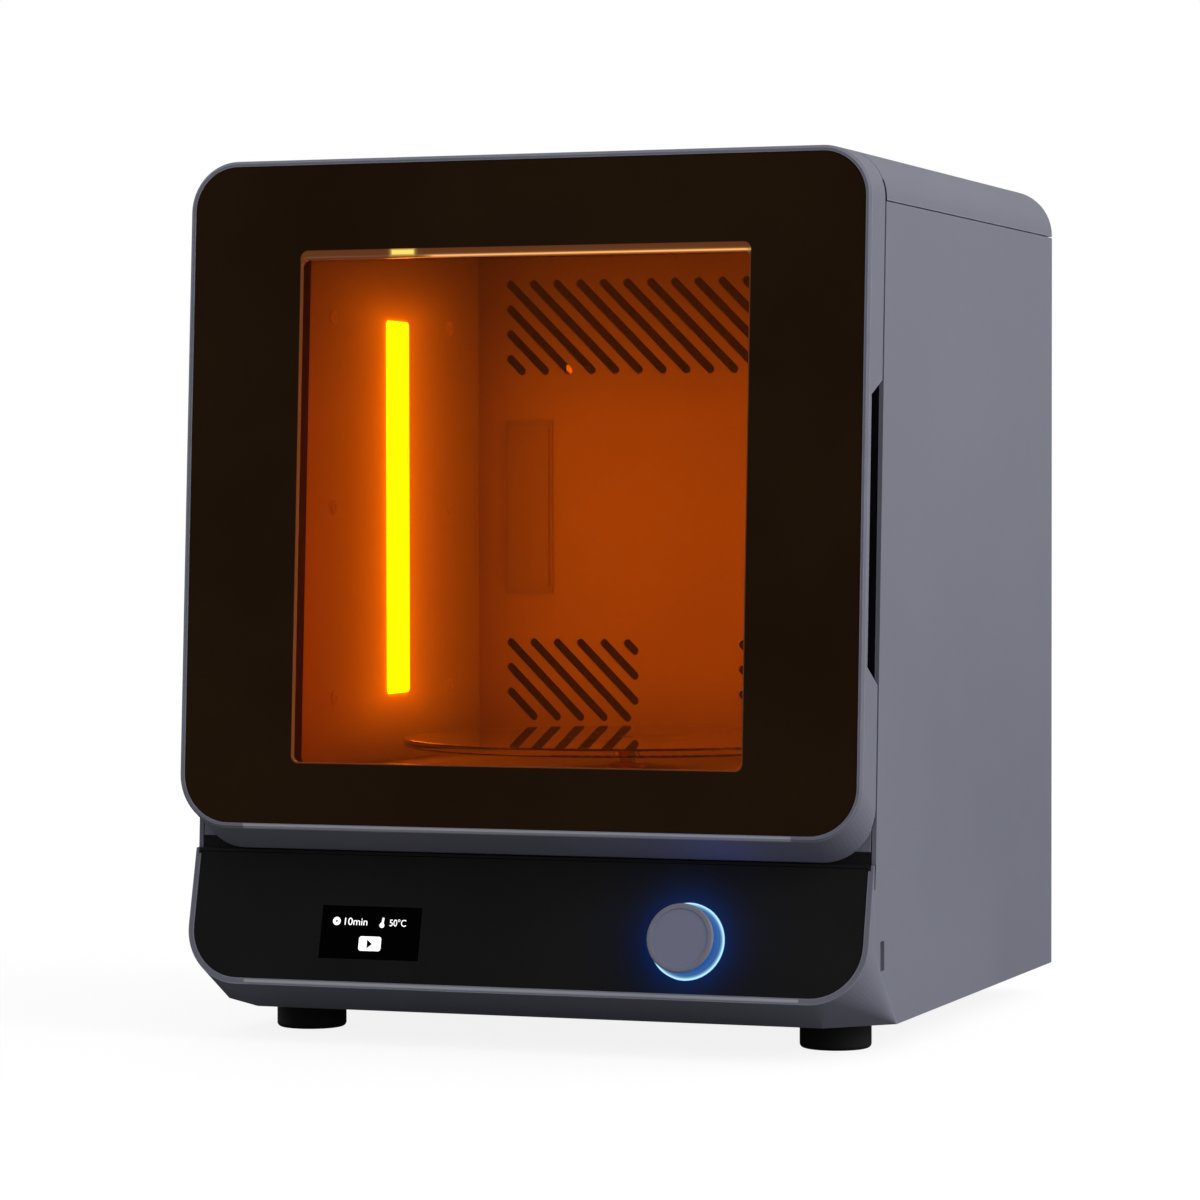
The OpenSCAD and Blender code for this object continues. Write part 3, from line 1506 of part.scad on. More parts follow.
seal_w = 4;
seal_in = 1.5;
seal_out = door_gap - 0.3;            // clear of the front frame
seal_edge = 7;                        // from the window to the seal

// Ring between two rounded rectangles round the window.
module window_ring(inner, width) {
  difference() {
    round_rect(-win_w / 2 - inner - width, win_up - inner - width,
      win_w + 2 * (inner + width), win_h + 2 * (inner + width),
      win_r + inner + width);
    round_rect(-win_w / 2 - inner, win_up - inner, win_w + 2 * inner,
      win_h + 2 * inner, win_r + inner);
  }
}

module inner_frame() {
  color("#2c2d30") on_door() {
    difference() {
      along_y(door_t - cover_in_t, door_t)
        round_rect(cov_x0, cov_z0, cov_x1 - cov_x0, cov_z1 - cov_z0, 6);
      along_y(door_t - cover_in_t - cut, door_t + cut)
        round_rect(-win_w / 2 - tube_step, win_up - tube_step,
          win_w + 2 * tube_step, win_h + 2 * tube_step, win_r + tube_step);
      along_y(door_t - seal_in, door_t + cut) window_ring(seal_edge, seal_w);
      for (p = screw_places)
        rod_y(p[0], p[1], small_r + screw_fit, door_t - cover_in_t - cut,
          door_t + cut);
      for (p = screw_places)
        rod_y(p[0], p[1], small_head_r + screw_fit, door_t - head_h,
          door_t + cut);
    }
    along_y(pane_back, door_t - cover_in_t + 0.01)
      window_ring(tube_step, win_wall);
  }
}

module door_seal() {
  color("#232427") on_door() along_y(door_t - seal_in, door_t + seal_out)
    window_ring(seal_edge + lay_fit, seal_w - 2 * lay_fit);
}

module hinge_knuckles() {
  color("#84878f") on_door() for (h = hinge_at) for (s = [-1, 1])
    difference() {
      z0 = s < 0 ? h - hinge_h / 2 : h + eye_h / 2 + 0.3;
      translate([0, 0, z0]) linear_extrude(hinge_h / 2 - eye_h / 2 - 0.3)
        intersection() {
          door_plan();
          translate([-half_w, hinge_wall]) square([strip_l - 5, door_t]);
        }
      rod_z(hinge_x, hinge_deep, pin_d / 2 + run_fit,
        s < 0 ? h - hinge_h / 2 + 1.8 : h, s < 0 ? h : h + hinge_h / 2 - 1.8);
    }
}

module door_magnets() {
  color("#c9ccd1") on_door() for (h = magnet_at)
    rod_y(magnet_x, h, magnet_r, door_t - magnet_t, door_t);
}

module inner_screws() {
  color("#55585e") on_door() for (p = screw_places)
    translate([p[0], door_t - head_h, p[1]]) rotate([-90, 0, 0])
      pan_screw(small_r, small_head_r, head_h, 8);
}

base_plate();
rubber_feet();
foot_screws();
side_panel_left();
side_panel_right();
top_cover();
rear_panel();
case_screws();
front_frame();
control_panel();
display_screen();
control_board();
light_ring();
encoder_body();
encoder_sleeve();
knob_shaft();
knob();
chamber_floor();
chamber_ceiling();
chamber_wall_left();
chamber_wall_right();
chamber_rear_wall();
probe_cover();
lamp_lens_left();
lamp_lens_right();
lamp_board_left();
lamp_board_right();
heat_sink_left();
heat_sink_right();
lamp_screws();
air_duct();
blower_brackets();
blower_motor();
blower_rotor();
heater();
support_posts();
power_supply();
main_board();
turntable_motor();
turntable_bush();
turntable_spindle();
turntable_disc();
hinge_brackets();
hinge_pins();
strike_plates();
door_sensor();
power_inlet();
switch_body();
rocker();
exhaust_fan_frame();
exhaust_rotor();
side_port();
door_frame();
door_glass();
window_pane();
inner_frame();
door_seal();
hinge_knuckles();
door_magnets();
inner_screws();
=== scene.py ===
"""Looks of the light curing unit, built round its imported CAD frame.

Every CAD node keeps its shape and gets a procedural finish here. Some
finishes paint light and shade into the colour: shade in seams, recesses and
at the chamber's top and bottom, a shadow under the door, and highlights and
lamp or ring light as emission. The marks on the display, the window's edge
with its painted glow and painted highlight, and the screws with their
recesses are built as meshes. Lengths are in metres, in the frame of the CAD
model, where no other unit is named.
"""
import logging
import math
from dataclasses import dataclass
from enum import Enum
from typing import Any, Iterable, Sequence

import bmesh
import bpy
import numpy as np
from mathutils import Matrix, Vector


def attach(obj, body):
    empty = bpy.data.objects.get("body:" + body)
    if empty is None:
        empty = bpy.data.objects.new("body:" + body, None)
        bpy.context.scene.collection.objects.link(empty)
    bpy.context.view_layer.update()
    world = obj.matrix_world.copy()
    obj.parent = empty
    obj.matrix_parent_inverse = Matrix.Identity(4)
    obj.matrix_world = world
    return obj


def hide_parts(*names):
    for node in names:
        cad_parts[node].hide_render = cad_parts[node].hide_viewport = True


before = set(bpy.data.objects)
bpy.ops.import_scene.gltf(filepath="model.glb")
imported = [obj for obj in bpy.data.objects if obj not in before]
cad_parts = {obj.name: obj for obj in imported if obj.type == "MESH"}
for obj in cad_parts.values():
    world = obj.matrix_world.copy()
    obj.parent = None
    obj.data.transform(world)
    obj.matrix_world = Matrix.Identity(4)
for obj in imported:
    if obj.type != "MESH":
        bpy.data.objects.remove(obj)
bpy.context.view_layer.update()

LOG = logging.getLogger("curing_unit")

Rgb = tuple[float, float, float]
Point = tuple[float, float, float]
Pair = tuple[float, float]
Box = tuple[Point, Point]
Four = tuple[float, float, float, float]
Names = tuple[str, ...]
Socket = bpy.types.NodeSocket
Node = bpy.types.Node
Mesh = bmesh.types.BMesh
Material = bpy.types.Material

MM = 0.001
FAR = 9.0              # a reach in which no light falls off
WHOLE = 1.0            # a half size that takes in the whole unit
CORE = (0.35, 0.65)    # where most of a noise's values lie
SPREAD = (0.3, 0.7)    # where nearly all of them lie
DUST: Rgb = (0.5, 0.49, 0.47)
DUST_MATT = 0.4        # what a full film of dust adds to the roughness
EDGE_LIFT = 0.03       # what lightened edges add to a dark colour: rubbed paint and painted highlight
ROUND_BELOW = math.radians(30.0)    # flatter edges look round


class Body(Enum):
    """The CAD bodies that pieces ride on."""

    CABINET = "cabinet"
    DOOR = "door"


@dataclass(frozen=True)
class Leaning:
    """A frame that leans back: x to the right, y up its face, z out of it."""

    origin: Point
    lean: float

    def matrix(self) -> Matrix:
        """Gives the frame's place in the CAD frame.

        Returns:
            The matrix that takes its places to the CAD frame.
        """
        s, c = math.sin(self.lean), math.cos(self.lean)
        turn = Matrix(((1, 0, 0), (0, s, -c), (0, c, s)))
        return Matrix.Translation(self.origin) @ turn.to_4x4()

    def point(self, x: float, up: float, out: float) -> Point:
        """Gives the place of a point of this frame, in millimetres."""
        return tuple(self.matrix() @ Vector((x * MM, up * MM, out * MM)))


DOOR_FACE = Leaning((0.0, -0.165556, 0.0965), math.radians(3.3))
PANEL_FACE = Leaning((0.0, -0.160356, 0.0291), math.radians(14.2))


class Tree:
    """Short calls that add and join the nodes of one node tree."""

    def __init__(self, tree: bpy.types.NodeTree) -> None:
        """Empties a node tree and wraps it."""
        self.tree = tree
        tree.nodes.clear()

    def add(self, kind: str, inputs: dict[Any, Any] | None = None,
            **settings: Any) -> Node:
        """Adds a node.

        Args:
            kind: the node's type, without its ShaderNode prefix.
            inputs: for each input, a socket to join or a value to set.
            settings: the node's own properties.

        Returns:
            The new node.
        """
        node = self.tree.nodes.new("ShaderNode" + kind)
        for key, value in settings.items():
            setattr(node, key, value)
        for key, value in (inputs or {}).items():
            self.feed(node.inputs[key], value)
        return node

    def feed(self, socket: Socket, value: Any) -> None:
        """Joins a socket to another one, or sets its plain value."""
        if isinstance(value, Socket):
            self.tree.links.new(value, socket)
        elif socket.type == "RGBA" and len(value) == 3:
            socket.default_value = (*value, 1.0)
        else:
            socket.default_value = value

    def math(self, operation: str, a: Any, b: Any = 0.0,
             clamp: bool = False) -> Socket:
        """Puts out the result of one Math node."""
        return self.add("Math", {0: a, 1: b}, operation=operation,
                        use_clamp=clamp).outputs[0]

    def vector(self, operation: str, a: Any, b: Any = (0.0, 0.0, 0.0),
               out: str = "Vector") -> Socket:
        """Puts out the result of one Vector Math node."""
        return self.add("VectorMath", {0: a, 1: b},
                        operation=operation).outputs[out]

    def span(self, value: Any, low: float, high: float, to_low: float = 0.0,
             to_high: float = 1.0) -> Socket:
        """Maps a value from one range to another, held inside the second."""
        return self.add("MapRange", {
            "Value": value, "From Min": low, "From Max": high,
            "To Min": to_low, "To Max": to_high}).outputs["Result"]

    def blend(self, mask: Any, a: Any, b: Any) -> Socket:
        """Blends two colours.

        Args:
            mask: 0 for the first colour, 1 for the second.
            a, b: the colours.

        Returns:
            The blended colour's socket.
        """
        node = self.tree.nodes.new("ShaderNodeMix")
        node.data_type = "RGBA"
        for socket, value in zip((node.inputs[0], node.inputs[6],
                                  node.inputs[7]), (mask, a, b)):
            self.feed(socket, value)
        return node.outputs[2]

    def spot(self) -> Socket:
        """Puts out the place on the piece, in the CAD frame at rest."""
        return self.add("TexCoord").outputs["Object"]

    def noise(self, where: Any, scale: Any, detail: float = 2.0,
              roughness: float = 0.5) -> Socket:
        """Puts out a noise value from 0 to 1."""
        return self.add("TexNoise", {
            "Vector": where, "Scale": scale, "Detail": detail,
            "Roughness": roughness}).outputs["Fac"]


class Effect:
    """A shared shader node group with named inputs and outputs."""

    made: dict[str, bpy.types.NodeTree] = {}

    @classmethod
    def start(cls, name: str, inputs: dict[str, float | Point],
              outputs: Sequence[str]) -> tuple[Tree, Any, Any]:
        """Makes an empty group.

        Args:
            name: the group's name.
            inputs: the first value of each input, by its name.
            outputs: the outputs' names.

        Returns:
            The group's tree, and the sockets that it gets and puts out.
        """
        group = bpy.data.node_groups.new(name, "ShaderNodeTree")
        for label, value in inputs.items():
            kind = "Float" if isinstance(value, float) else "Vector"
            group.interface.new_socket(name=label, in_out="INPUT",
                socket_type="NodeSocket" + kind).default_value = value
        for label in outputs:
            group.interface.new_socket(name=label, in_out="OUTPUT",
                                       socket_type="NodeSocketFloat")
        cls.made[name] = group
        return (Tree(group), group.nodes.new("NodeGroupInput").outputs,
                group.nodes.new("NodeGroupOutput").inputs)

    @classmethod
    def use(cls, tree: Tree, name: str, inputs: dict[str, Any]) -> Node:
        """Places a group in a material's tree.

        Args:
            tree: the material's tree.
            name: the group's name.
            inputs: a socket or value for each input that isn't left alone.

        Returns:
            The group's node.
        """
        node = tree.tree.nodes.new("ShaderNodeGroup")
        node.node_tree = cls.made[name]
        for key, value in inputs.items():
            tree.feed(node.inputs[key], value)
        return node

    @classmethod
    def grain(cls) -> None:
        """Fine moulded or sprayed grain, and a slow drift of the tone."""
        tree, start, end = cls.start("surface_grain", {"Scale": 900.0},
                                     ["Height", "Drift"])
        where, slow = tree.spot(), 9.0
        for label, scale, roughness in (("Height", start["Scale"], 0.6),
                                        ("Drift", slow, 0.55)):
            tree.feed(end[label], tree.noise(where, scale, 3.0, roughness))

    @classmethod
    def edges(cls) -> None:
        """Mask of outer and inner edges, broken up unevenly: rubbed paint, and on
        the mouldings also a painted highlight.
        """
        tree, start, end = cls.start(
            "edge_wear_and_sheen", {"Width": 0.0008, "Break": 90.0}, ["Mask"])
        soft = tree.add("Bevel", {"Radius": start["Width"]}, samples=4)
        true = tree.add("NewGeometry")
        near = tree.vector("DOT_PRODUCT", soft.outputs["Normal"],
                           true.outputs["Normal"], "Value")
        flat, sharp, least = 0.995, 0.9, 0.35
        edge = tree.span(near, flat, sharp)
        rough = tree.noise(tree.spot(), start["Break"], 4.0, 0.65)
        broken = tree.span(rough, *CORE, least, 1.0)
        tree.feed(end["Mask"], tree.math("MULTIPLY", edge, broken))

    @classmethod
    def dust(cls) -> None:
        """Mask of a thin film of dust on faces that look up."""
        tree, start, end = cls.start("dust_film", {"Amount": 0.1}, ["Mask"])
        normal = tree.add("NewGeometry").outputs["Normal"]
        rise = tree.add("SeparateXYZ", {0: normal}).outputs["Z"]
        steep, flat = 0.2, 0.95
        level = tree.span(rise, steep, flat)
        thin, thick = 0.35, 0.75
        cloud = tree.span(tree.noise(tree.spot(), 34.0, 5.0, 0.7), thin, thick)
        film = tree.math("MULTIPLY", level, cloud)
        tree.feed(end["Mask"], tree.math("MULTIPLY", film, start["Amount"]))

    @classmethod
    def brushing(cls) -> None:
        """Fine parallel streaks, long along one axis."""
        tree, start, end = cls.start(
            "brushed_streaks", {"Stretch": (40.0, 900.0, 900.0)}, ["Streak"])
        where = tree.vector("MULTIPLY", tree.spot(), start["Stretch"])
        tree.feed(end["Streak"], tree.noise(where, 1.0, 3.0, 0.6))

    @classmethod
    def spill(cls) -> None:
        """Mask of painted light that spills from a lit lens or ring on to its
        plate.
        """
        tree, start, end = cls.start("light_spill", {
            "Centre": (0.0,) * 3, "Half": (0.0,) * 3, "Reach": (0.01,) * 3,
            "Lean": 0.0, "Ring": 0.0}, ["Mask"])
        away = cls.outside(tree, start)
        reaches = tree.vector("DIVIDE", away, start["Reach"])
        far = tree.vector("LENGTH", reaches, out="Value")
        past = tree.math("ABSOLUTE", tree.math("SUBTRACT", far, start["Ring"]))
        tree.feed(end["Mask"], tree.math(
            "EXPONENT", tree.math("MULTIPLY", past, -1.0)))

    @classmethod
    def painted_light_box(cls) -> None:
        """Mask of a leaning box, which is 1 inside and fades outside it."""
        tree, start, end = cls.start("box_mask", {
            "Centre": (0.0,) * 3, "Half": (0.0,) * 3, "Lean": 0.0,
            "Soft": 0.0003}, ["Mask"])
        away = cls.outside(tree, start)
        far = tree.vector("LENGTH", away, out="Value")
        tree.feed(end["Mask"], tree.math("SUBTRACT", 1.0, tree.math(
            "DIVIDE", far, start["Soft"]), clamp=True))

    @staticmethod
    def outside(tree: Tree, start: Any) -> Socket:
        """Measures how far a place is outside a leaning box.

        Args:
            tree: the group's tree.
            start: the group's inputs.

        Returns:
            The distance on each of the box's axes.
        """
        off = tree.vector("SUBTRACT", tree.spot(), start["Centre"])
        upright = tree.add("VectorRotate", {
            "Vector": off, "Angle": start["Lean"]},
            rotation_type="X_AXIS").outputs["Vector"]
        return tree.vector("MAXIMUM", tree.vector(
            "SUBTRACT", tree.vector("ABSOLUTE", upright), start["Half"]))

    @classmethod
    def build_all(cls) -> None:
        """Builds every group once."""
        for step in (cls.grain, cls.edges, cls.dust, cls.brushing, cls.spill,
                     cls.painted_light_box):
            step()


def toned(color: Rgb, share: float) -> Rgb:
    """Makes a colour lighter or darker, up to white."""
    return tuple(min(1.0, c * share) for c in color)


@dataclass(frozen=True)
class Finish:
    """What a surface is made of, with the marks that making and use leave.

    Colours are linear. The mottle is how far the tone drifts over the piece,
    and uneven how far the roughness does. The grain is its fine relief.
    Wear_and_sheen is how much of the edges is lightened, and edge_lightening
    how much lighter they get: paint rubbed off the edges, and on the
    mouldings also a painted highlight along them.
    """

    name: str
    color: Rgb
    roughness: float = 0.5
    metallic: float = 0.0
    specular: float = 0.5
    mottle: float = 0.06
    uneven: float = 0.06
    grain_scale: float = 1400.0
    grain_depth: float = 0.00002
    grain_strength: float = 0.25
    wear_and_sheen: float = 0.0
    wear_width: float = 0.0008
    edge_lightening: float = 1.5
    dust: float = 0.0

    def material(self) -> Material:
        """Builds the finish as a material.

        Returns:
            The material.
        """
        made = bpy.data.materials.new(self.name)
        made.use_nodes = True
        tree = Tree(made.node_tree)
        shader = tree.add("BsdfPrincipled", {
            "Roughness": self.roughness, "Metallic": self.metallic,
            "Specular IOR Level": self.specular})
        self.dress(tree, shader)
        out = tree.add("OutputMaterial")
        tree.feed(out.inputs["Surface"], self.surface(tree, shader))
        return made

    def dress(self, tree: Tree, shader: Node) -> None:
        """Gives the shader its drifting tone, grain, lightened edges, dust and any
        painted shade or highlight.

        Args:
            tree: the material's tree.
            shader: its Principled node.
        """
        grain = Effect.use(tree, "surface_grain", {"Scale": self.grain_scale})
        color = self.tone(tree, grain.outputs["Drift"])
        gloss = tree.span(grain.outputs["Drift"], *SPREAD,
                          max(0.02, self.roughness - self.uneven),
                          min(1.0, self.roughness + self.uneven))
        # Lightened edges: paint rubbed off, and on the mouldings also a painted
        # highlight.
        if self.wear_and_sheen > 0.0:
            edge = Effect.use(tree, "edge_wear_and_sheen", {"Width": self.wear_width})
            mask = tree.math("MULTIPLY", edge.outputs["Mask"], self.wear_and_sheen)
            pale = tuple(min(1.0, c * self.edge_lightening + EDGE_LIFT)
                         for c in self.color)
            color = tree.blend(mask, color, pale)
        if self.dust > 0.0:
            film = Effect.use(tree, "dust_film", {"Amount": self.dust})
            color = tree.blend(film.outputs["Mask"], color, DUST)
            gloss = tree.math("ADD", gloss, tree.math(
                "MULTIPLY", film.outputs["Mask"], DUST_MATT), clamp=True)
        tree.feed(shader.inputs["Base Color"], self.shaded(tree, color))
        tree.feed(shader.inputs["Roughness"], gloss)
        bump = tree.add("Bump", {"Strength": self.grain_strength,
                                 "Distance": self.grain_depth,
                                 "Height": self.relief(tree, grain)})
        tree.feed(shader.inputs["Normal"], bump.outputs["Normal"])

    def tone(self, tree: Tree, drift: Any) -> Socket:
        """Puts out the colour with its slow drift."""
        return tree.blend(tree.span(drift, *CORE),
                          toned(self.color, 1.0 - self.mottle),
                          toned(self.color, 1.0 + self.mottle))

    def shaded(self, tree: Tree, color: Any) -> Any:
        """Puts out the colour that the surface ends up with."""
        return color

    def relief(self, tree: Tree, grain: Node) -> Any:
        """Puts out the height that the bump follows."""
        return grain.outputs["Height"]

    def surface(self, tree: Tree, shader: Node) -> Any:
        """Puts out the shader that the material shows."""
        return shader.outputs["BSDF"]


@dataclass(frozen=True)
class Spill:
    """Light that falls from a lit part on to the plate round it, painted as
    emission.

    It is full inside a box and falls off outside it by its reach. A ring is
    lit where the distance from the box is that many reaches.
    """

    color: Rgb
    centre: Point
    reach: Point
    half: Point = (0.0, 0.0, 0.0)
    ring: float = 0.0
    lean: float = 0.0


@dataclass(frozen=True)
class PaintedLightBox:
    """A box of painted shade or of a painted highlight on a surface, with a soft
    border.
    """

    color: Rgb
    centre: Point
    half: Point
    lean: float = 0.0
    soft: float = 0.0003

    @classmethod
    def on(cls, face: Leaning, color: Rgb, box: Box,
           soft: float = 0.0003) -> "PaintedLightBox":
        """Lays a box on a leaning face, with its middle in millimetres."""
        middle, half = box
        return cls(color, face.point(*middle), half, face.lean, soft)


@dataclass(frozen=True)
class LitPlate(Finish):
    """A surface with light painted on as emission, and with boxes of painted shade
    or a painted highlight.
    """

    spills: tuple[Spill, ...] = ()
    painted_light_boxes: tuple[PaintedLightBox, ...] = ()

    def shaded(self, tree: Tree, color: Any) -> Any:
        """Puts out the colour, with the painted shade and highlights of the boxes.
        """
        for box in self.painted_light_boxes:
            mask = Effect.use(tree, "box_mask", {
                "Centre": box.centre, "Half": box.half, "Lean": box.lean,
                "Soft": box.soft})
            color = tree.blend(mask.outputs["Mask"], color, box.color)
        return color

    def surface(self, tree: Tree, shader: Node) -> Any:
        """Adds the painted light that the surface catches, as emission.

        Args:
            tree: the material's tree.
            shader: its Principled node.

        Returns:
            The shader's socket.
        """
        total: Any = (0.0, 0.0, 0.0)
        for spill in self.spills:
            mask = Effect.use(tree, "light_spill", {
                "Centre": spill.centre, "Half": spill.half,
                "Reach": spill.reach, "Ring": spill.ring, "Lean": spill.lean})
            lit = tree.add("VectorMath", {
                0: spill.color, "Scale": mask.outputs["Mask"]},
                operation="SCALE").outputs["Vector"]
            total = tree.vector("ADD", total, lit)
        if self.spills:
            tree.feed(shader.inputs["Emission Color"], total)
            shader.inputs["Emission Strength"].default_value = 1.0
        return shader.outputs["BSDF"]


@dataclass(frozen=True)
class BrushedMetal(Finish):
    """Bare metal with the fine streaks of brushing, turning or rolling."""

    metallic: float = 1.0
    stretch: Point = (40.0, 900.0, 900.0)
    dark: float = 0.86
    bright: float = 1.1

    def tone(self, tree: Tree, drift: Any) -> Socket:
        """Puts out the metal's colour, lighter and darker along its streaks."""
        streak = Effect.use(tree, "brushed_streaks", {"Stretch": self.stretch})
        return tree.blend(streak.outputs["Streak"],
                          toned(self.color, self.dark),
                          toned(self.color, self.bright))

    def relief(self, tree: Tree, grain: Node) -> Any:
        """Puts out the streaks as the height that the bump follows."""
        streak = Effect.use(tree, "brushed_streaks", {"Stretch": self.stretch})
        return streak.outputs["Streak"]


@dataclass(frozen=True)
class ClearSheet(Finish):
    """Clear or tinted acrylic sheet, which lamps shine through."""

    mottle: float = 0.0
    uneven: float = 0.0
    ior: float = 1.49
    shade: Rgb = (1.0, 1.0, 1.0)

    def surface(self, tree: Tree, shader: Node) -> Any:
        """Makes the sheet clear, and lets the lamps' rays through its tint.

        Args:
            tree: the material's tree.
            shader: its Principled node.

        Returns:
            The mixed shader's socket.
        """
        shader.inputs["Transmission Weight"].default_value = 1.0
        shader.inputs["IOR"].default_value = self.ior
        through = tree.add("BsdfTransparent", {"Color": self.shade})
        path = tree.add("LightPath")
        mixed = tree.add("MixShader", {0: path.outputs["Is Shadow Ray"],
                                       1: shader.outputs["BSDF"],
                                       2: through.outputs["BSDF"]})
        return mixed.outputs["Shader"]


@dataclass(frozen=True)
class Glow(Finish):
    """A diffuser that is lit from behind."""

    roughness: float = 0.4
    light: Rgb = (1.0, 1.0, 1.0)
    strength: float = 1.0
    patch: float = 0.04
    cloud_scale: float = 60.0

    def surface(self, tree: Tree, shader: Node) -> Any:
        """Adds the light, slightly uneven.

        Args:
            tree: the material's tree.
            shader: its Principled node.

        Returns:
            The shader's socket.
        """
        cloud = tree.noise(tree.spot(), self.cloud_scale)
        lit = tree.blend(tree.span(cloud, *SPREAD),
                         toned(self.light, 1.0 - self.patch), self.light)
        tree.feed(shader.inputs["Emission Color"], lit)
        shader.inputs["Emission Strength"].default_value = self.strength
        return shader.outputs["BSDF"]


@dataclass(frozen=True)
class CircuitBoard(Finish):
    """Solder mask with copper lines under it."""

    cell: float = 1.6 * MM
    line_scale: float = 260.0
    line_edge: Pair = (0.52, 0.54)
    copper: Rgb = (0.05, 0.24, 0.1)

    def tone(self, tree: Tree, drift: Any) -> Socket:
        """Draws the mask's green, lighter over the copper lines.

        Args:
            tree: the material's tree.
            drift: the slow drift, which the mask doesn't show.

        Returns:
            The colour's socket.
        """
        where = tree.vector("SNAP", tree.spot(), (self.cell,) * 3)
        blocks = tree.noise(where, self.line_scale, 1.0, 0.4)
        return tree.blend(tree.span(blocks, *self.line_edge), self.color,
                          self.copper)


def put(name: str, data: Any) -> bpy.types.Object:
    """Makes an object of its data and puts it in the scene.

    Args:
        name: the object's name.
        data: its data, or a mesh that is being edited, which is freed here.

    Returns:
        The object.
    """
    if isinstance(data, Mesh):
        data, mesh = bpy.data.meshes.new(name), data
        mesh.to_mesh(data)
        mesh.free()
    made = bpy.data.objects.new(name, data)
    bpy.context.scene.collection.objects.link(made)
    return made


def shape(name: str, mesh: Mesh, finish: Material, body: Body) -> bpy.types.Object:
    """Makes a piece from mesh data and fixes it to its body.

    Args:
        name: the piece's name.
        mesh: the finished mesh, in the CAD frame. It is freed here.
        finish: the piece's material.
        body: the body that the piece rides on.

    Returns:
        The piece.
    """
    bmesh.ops.recalc_face_normals(mesh, faces=mesh.faces)
    for edge in mesh.edges:
        edge.smooth = (len(edge.link_faces) == 2
                       and edge.calc_face_angle(0.0) < ROUND_BELOW)
    for face in mesh.faces:
        face.smooth = True
    piece = put(name, mesh)
    piece.data.materials.append(finish)
    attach(piece, body.value)
    LOG.info("built %s on %s", name, body.value)
    return piece


def dress(nodes: Iterable[str], finish: Finish) -> None:
    """Gives CAD nodes a finish.

    Args:
        nodes: the nodes' names.
        finish: the finish, built once for all of them.
    """
    made = finish.material()
    for name in nodes:
        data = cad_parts[name].data
        data.materials.clear()
        data.materials.append(made)
        for polygon in data.polygons:
            polygon.material_index = 0
        LOG.info("dressed %s as %s", name, finish.name)


def band(mesh: Mesh, first: list[Any], second: list[Any]) -> None:
    """Joins two rings of as many corners each by faces."""
    for a, b, c, d in zip(first, first[1:] + first[:1],
                          second[1:] + second[:1], second):
        mesh.faces.new((a, b, c, d))


def islands(name: str) -> list[list[Vector]]:
    """Finds the separate solids of a CAD node.

    Args:
        name: the node's name.

    Returns:
        The corners of each solid, in the CAD frame, in a steady order.
    """
    mesh = bmesh.new()
    mesh.from_mesh(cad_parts[name].data)
    bmesh.ops.remove_doubles(mesh, verts=mesh.verts, dist=1e-6)
    left, found = set(mesh.verts), []
    while left:
        stack, group = [left.pop()], []
        while stack:
            corner = stack.pop()
            group.append(corner.co.copy())
            for edge in corner.link_edges:
                other = edge.other_vert(corner)
                if other in left:
                    left.remove(other)
                    stack.append(other)
        found.append(group)
    mesh.free()
    return sorted(found, key=lambda g: tuple(round(v, 4) for v in sum(
        g, Vector()) / len(g)))


@dataclass
class Screw:
    """A pan head screw with a real cross recess in its head.

    Dome, recess and clear are shares of the head's height, arm and arm_half
    of its radius, tip and chamfer of the shank's radius.
    """

    head_r: float
    head_h: float
    shank_r: float
    length: float
    dome: float = 0.45
    recess: float = 0.25
    clear: float = 1.2
    arm: float = 0.56
    arm_half: float = 0.15
    tip: float = 0.7
    chamfer: float = 0.4
    taper: float = 0.8
    steps: int = 32
    dome_steps: int = 6

    def profile(self) -> list[Pair]:
        """Draws the turned outline.

        Returns:
            The radius and height of each of its corners.
        """
        dome = self.head_h * self.dome
        turn = math.pi / 2 / self.dome_steps
        rise = [(self.head_r * math.cos(i * turn),
                 self.head_h - dome + dome * math.sin(i * turn))
                for i in range(self.dome_steps)]
        return ([(0.0, -self.length), (self.shank_r * self.tip, -self.length),
                 (self.shank_r, -self.length + self.shank_r * self.chamfer),
                 (self.shank_r, 0.0), (self.head_r, 0.0)] + rise
                + [(0.0, self.head_h)])

    def add(self, mesh: Mesh, place: Matrix) -> None:
        """Turns the outline into a solid and cuts the recess.

        Args:
            mesh: the mesh that the screw is added to.
            place: where its head's underside is, with z out of the head.
        """
        part = bmesh.new()
        ring = [part.verts.new((r, 0.0, h)) for r, h in self.profile()]
        edges = [part.edges.new(pair) for pair in zip(ring, ring[1:])]
        bmesh.ops.spin(part, geom=ring + edges, axis=(0, 0, 1),
                       cent=(0, 0, 0), steps=self.steps, angle=math.tau)
        bmesh.ops.remove_doubles(part, verts=part.verts, dist=1e-7)
        bmesh.ops.recalc_face_normals(part, faces=part.faces)
        add_cut(mesh, part, self.cutter(), place)

    def cutter(self) -> Mesh:
        """Builds the tapered cross that leaves the recess.

        Returns:
            The cross.
        """
        tool = bmesh.new()
        wide, thin = self.head_r * self.arm, self.head_r * self.arm_half
        arm = ((wide, -thin), (wide, thin), (thin, thin))
        corners = [Matrix.Rotation(k * math.tau / 4, 2) @ Vector(c)
                   for k in range(4) for c in arm]
        top = [tool.verts.new((*c, self.head_h * self.clear)) for c in corners]
        low = [tool.verts.new((*(c * self.taper), self.head_h * self.recess))
               for c in corners]
        tool.faces.new(top)
        tool.faces.new(low[::-1])
        band(tool, low, top)
        bmesh.ops.recalc_face_normals(tool, faces=tool.faces)
        return tool


